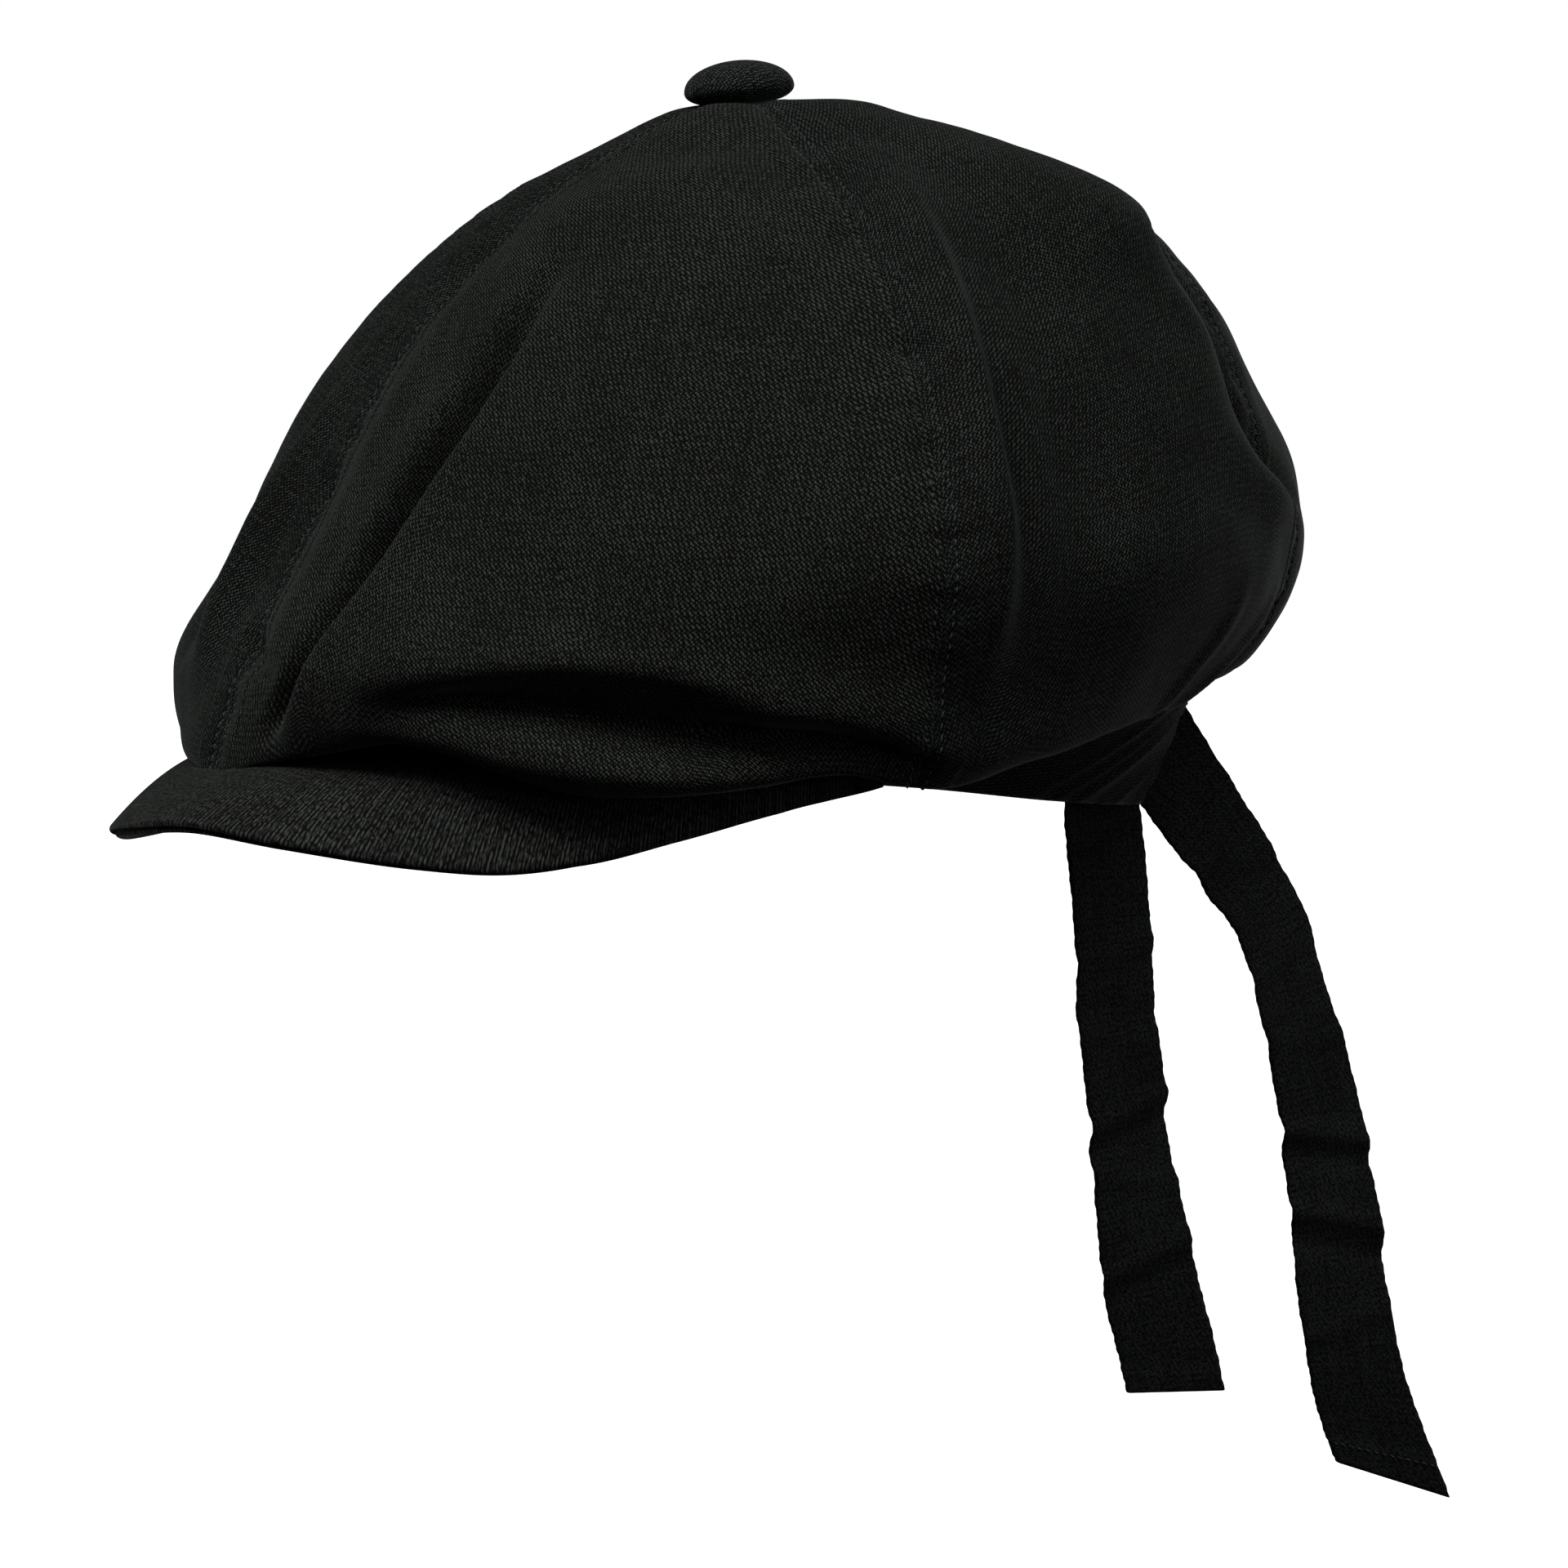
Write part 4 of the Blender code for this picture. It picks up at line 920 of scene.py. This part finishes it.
def peak_frame():
    """Grid of places on the peak's upper face, its normals, and each place's distance from the outer edge. The
    grid is even over the peak and crowds together at the rolled edge."""
    angle = np.linspace(-PEAK_END_ANGLE, PEAK_END_ANGLE, PEAK_COLUMNS)[:, None]
    reach = np.maximum(around(PEAK_ROWS, "reach", angle), PEAK_LEAST_REACH)
    even = np.linspace(0, 1, PEAK_EVEN_ROWS)[None, :-1] * (1 - PEAK_ROLL / reach)
    at_edge = PEAK_ROLL * (1 - np.sin(np.linspace(0, np.pi / 2, PEAK_EDGE_ROWS)))
    share = np.concatenate([even, 1 - at_edge[None, :] / reach], 1)
    angle = angle + 0 * share
    normal = surface_normals(peak_surface, angle, share, FINE_SHARE)
    return angle, share, peak_surface(angle, share), normal, (1 - share) * reach


peak_angle, peak_share, peak_upper, peak_normal, peak_inside = peak_frame()
peak_reach = around(PEAK_ROWS, "reach", peak_angle)
# The lower faces lie under the upper one along its normal, but straight below it at the band and at both ends
plumb = np.array([0.0, 0.0, -1.0]) / np.maximum(peak_normal[..., 2:], PEAK_STEEPEST)
by_reach = np.clip((peak_reach - STEER_LEAST_REACH) / STEER_REACH_RUN, 0, 1)
steer = (np.clip(peak_share / STEER_SHARE, 0, 1) * by_reach)[..., None]
peak_down = plumb * (1 - steer) - peak_normal * steer


def peak_cloth(name, top, bottom, *dress):
    """One cloth of the peak as a closed piece between two depths under the upper face. Its faces close on its
    middle in a quarter round at the outer edge."""
    depth, half = (top + bottom) / 2, (bottom - top) / 2
    round_off = half * np.sqrt(np.clip(1 - (1 - np.clip(peak_inside / half, 0, 1)) ** 2, 0, 1))
    front, back = (peak_upper + peak_down * (depth + level * round_off)[..., None] for level in (-1, 1))
    uv = np.stack([peak_angle * RADIAN * PEAK_UV_RADIUS, -peak_share * np.maximum(peak_reach, PEAK_LEAST_UV)], -1)
    two_faced(name, front, back, uv, *dress)


PEAK_WEAVE = ((1 / 2, 0.0, 1.0), (-2 / 3, 1 / 8, 0.9), (5 / 6, 1 / 8, 0.5))
peak_weave = weave_cloth(
    "peak_cloth_weave", (0.0010, 0.0011, 0.0007), (0.050, 0.052, 0.044), gain=0.6, level=0.26, seed=1.7,
    weave=PEAK_WEAVE,
)
top_depth, under_depth = (PEAK_THICKNESS - PEAK_CLOTH_GAP) / 2, (PEAK_THICKNESS + PEAK_CLOTH_GAP) / 2
peak_cloth("peak_upper_cloth", 0.0, top_depth, peak_weave, "peak_cloth", "peak_top_cloth")
peak_cloth("peak_lower_cloth", under_depth, PEAK_THICKNESS, peak_weave, "peak_cloth", "peak_under_cloth")

# ------------------------------ ties
# Two flat strips of the cloth, folded lengthwise and sewn, that come out from inside the band at the back and
# hang free. They keep the creases of their packing; the right one ends in a turned-up hem.
TIE_WIDTH = 22.2
TIE_WALL = 1.5
TIE_ACROSS = 25
TIE_STEPS = 14
# Rows of a tie's middle line: x, y, z, the angle that it faces, and the slant of its cross lines
TIE_LEFT_ROWS = (
    (45, 73.5, 10, 112, 0), (42, 72, 1, 106, 0), (39.6, 71.8, -7, 101, 0), (39.8, 72.3, -14, 99, 0),
    (41, 72.5, -22, 98, 0), (43, 72.4, -33, 99.5, 0), (43.5, 72.9, -46, 99, 0), (44, 73.8, -58, 98, 0),
    (44.3, 75, -69, 97, 0), (44.6, 76, -80, 98.5, 0), (44.5, 77.1, -90, 96, 0), (44.6, 79, -100, 89, 0),
    (44.7, 80.8, -110, 78, 0), (44.7, 82.8, -120, 71, 0), (44.8, 86, -131, 67, 2), (44.5, 88.8, -141.4, 67, 5),
)
TIE_RIGHT_ROWS = (
    (27.5, 94.3, 3.5, 84, -11), (28, 105.7, -12, 96, -2), (28.5, 111.3, -19, 100, -1), (29, 116.9, -26.5, 104, 0),
    (29.5, 121.7, -34, 106, 0), (30, 125, -43, 105, 0), (31.1, 128.6, -56, 103, 0), (31.8, 132.4, -70, 96, 0),
    (32.3, 135.6, -84, 90, 0), (32.3, 138, -98, 83, 0), (32.7, 139.9, -110, 79, 0), (32.7, 140.9, -122, 79, 0),
    (33.1, 144.9, -142, 72, 6), (33.3, 148.8, -154, 65, 12), (33.5, 155, -168.6, 66, 19),
)
# Creases of the packing: how far down the tie, how much further down on the viewer's right, depth and half width
TIE_LEFT_CREASES = (
    (52, 4, 0.9, 3), (66, -3, -0.8, 3.5), (88, 5, 1.3, 2.6), (94, 5, -1, 3), (104, -7, 0.9, 3),
    (122, 6, 1.2, 2.6), (128, 5, -0.8, 3),
)
TIE_RIGHT_CREASES = (
    (22, 10, 1.1, 4), (38, -8, -1.2, 4), (57, 6, 0.9, 3.5), (78, -5, 0.8, 3.5), (101, -7, 1.5, 2.6),
    (107, -7, -1.1, 3), (121, -8, 1.4, 2.6), (128, -7, -1, 3.2), (146, 5, 0.9, 3),
)
TIE_LEFT_HEM = 4.8
TIE_RIGHT_HEM = 8.0
TIE_HEM_STEP = 0.8
TIE_HEM_RISE = 0.45
TIE_WAVER, TIE_WAVER_RATES = 0.18, (0.9, 2.3)
TIE_CREASES_FROM = (12.0, 20.0)
TIE_STITCH_PITCH = 2.0
TIE_STITCH_INSET = 1.5


def tie(name, rows, creases, hem, *dress):
    """A flat strip along its middle line, turned to face the stated angle, with rounded edges. Creases push it in
    and out as bells across slanting lines, the turned-up hem is thicker, and the edges waver a little. It gives
    back the line that the hem is sewn on, and the way that line faces."""
    line = smooth_rows(rows, TIE_STEPS)
    middle, facing = line[:, :3], outward(line[:, 3])
    along = unit(np.gradient(middle, axis=0))
    across = unit(np.cross(along, facing))
    facing = np.cross(across, along)
    run = lengths(middle)
    down = run[:, None, None]
    side = np.sin(np.linspace(-np.pi / 2, np.pi / 2, TIE_ACROSS))[None, :, None] / 2
    push = sum(
        depth * np.exp(-(((down - start - lean * side) / width) ** 2)) for start, lean, depth, width in creases
    )
    slow, quick = TIE_WAVER_RATES
    waver = 1 + TIE_WAVER / TIE_WIDTH * (np.sin(down * slow) + np.sin(down * quick + 1))
    sheet = middle[:, None] + across[:, None] * side * TIE_WIDTH * waver + (along * line[:, 4:])[:, None] * -side
    sheet = sheet + facing[:, None] * push * smooth_step(down, *TIE_CREASES_FROM)
    rounding = np.clip((1 - np.abs(2 * side)) * TIE_WIDTH / TIE_WALL, 0, 1)
    in_hem = smooth_step(down, run[-1] - hem - TIE_HEM_STEP, run[-1] - hem)
    thick = np.sqrt(1 - (1 - rounding) ** 2) * (TIE_WALL / 2 + TIE_HEM_RISE * in_hem)
    front, back = sheet + facing[:, None] * thick, sheet - facing[:, None] * thick
    uv = np.concatenate([side * TIE_WIDTH + 0 * down, -down + 0 * side], -1)
    piece = two_faced(name, front, back, uv, *dress)
    seam = np.argmin(np.abs(run - (run[-1] - hem + TIE_STITCH_INSET)))
    sewn = (front if facing[seam] @ sight(VIEW_AZIMUTH, 0) > 0 else back)[seam, 2:-2]
    return sewn, facing[seam] + 0 * sewn


tie_weave = weave_cloth(
    "tie_cloth_weave", (0.0012, 0.0013, 0.0010), (0.0185, 0.0205, 0.0175), level=0.5, gain=0.5, seed=2.3
)
tie("left_tie", TIE_LEFT_ROWS, TIE_LEFT_CREASES, TIE_LEFT_HEM, tie_weave, "tie_cloth", "tie_left")
sewn_line = tie("right_tie", TIE_RIGHT_ROWS, TIE_RIGHT_CREASES, TIE_RIGHT_HEM, tie_weave, "tie_cloth", "tie_right")
stitching("tie_hem_stitching", stitch_row(*sewn_line, pitch=TIE_STITCH_PITCH), "tie_cloth")

# ------------------------------ floor, lights and world
# A plain pale floor far below the held-up cap, and an even white surround. Neither throws light back on the dark
# cloth. It is lit by wide soft suns: a key from the front and above, a softbox high on the wearer's left, a faint
# fill near the camera, a softbox on the right of the picture, and two low rims from behind.
FLOOR_HEIGHT = -0.32
FLOOR_HALF = 12.0
FLOOR_ALBEDO = 0.8
FLOOR_GLOW = 0.6
# Name, azimuth, elevation, spread in degrees and power
SUNS = (
    ("key", 12.0, 53.0, 30.0, 0.68),
    ("overhead_softbox", 84.0, 58.0, 42.0, 0.38),
    ("front_fill", 42.0, 34.0, 50.0, 0.06),
    ("right_softbox", 122.0, 6.0, 45.0, 0.18),
    ("left_rim", -66.0, -20.0, 60.0, 0.09),
    ("right_rim", 212.0, -12.0, 45.0, 0.2),
)

floor_mesh = bpy.data.meshes.new("floor")
corners = np.array([[-1, -1, 0], [1, -1, 0], [1, 1, 0], [-1, 1, 0]]) * FLOOR_HALF + [0, 0, FLOOR_HEIGHT]
floor_mesh.from_pydata(corners.tolist(), [], [(0, 1, 2, 3)])
floor_material, _, _ = new_material("pale_floor", {
    "Base Color": (FLOOR_ALBEDO, FLOOR_ALBEDO, FLOOR_ALBEDO, 1), "Roughness": 0.9, "Specular IOR Level": 0.1,
    "Emission Color": (1, 1, 1, 1), "Emission Strength": FLOOR_GLOW,
})
floor_mesh.materials.append(floor_material)
floor = add_object("floor", floor_mesh)
floor.visible_diffuse = False
floor.visible_glossy = False
floor.visible_shadow = False

for name, azimuth, elevation, spread, power in SUNS:
    lamp_data = bpy.data.lights.new(name, "SUN")
    lamp_data.energy = np.pi * power
    lamp_data.angle = spread * RADIAN
    lamp = add_object(name, lamp_data)
    lamp.rotation_euler = ((90 - elevation) * RADIAN, 0, azimuth * RADIAN)

world = bpy.data.worlds.new("surround")
world.use_nodes = True
world.node_tree.nodes["Background"].inputs[0].default_value = (1, 1, 1, 1)
world.node_tree.nodes["Background"].inputs[1].default_value = 1.0
world.cycles_visibility.diffuse = False
world.cycles_visibility.glossy = False
bpy.context.scene.world = world
bpy.context.scene.view_settings.view_transform = "Standard"
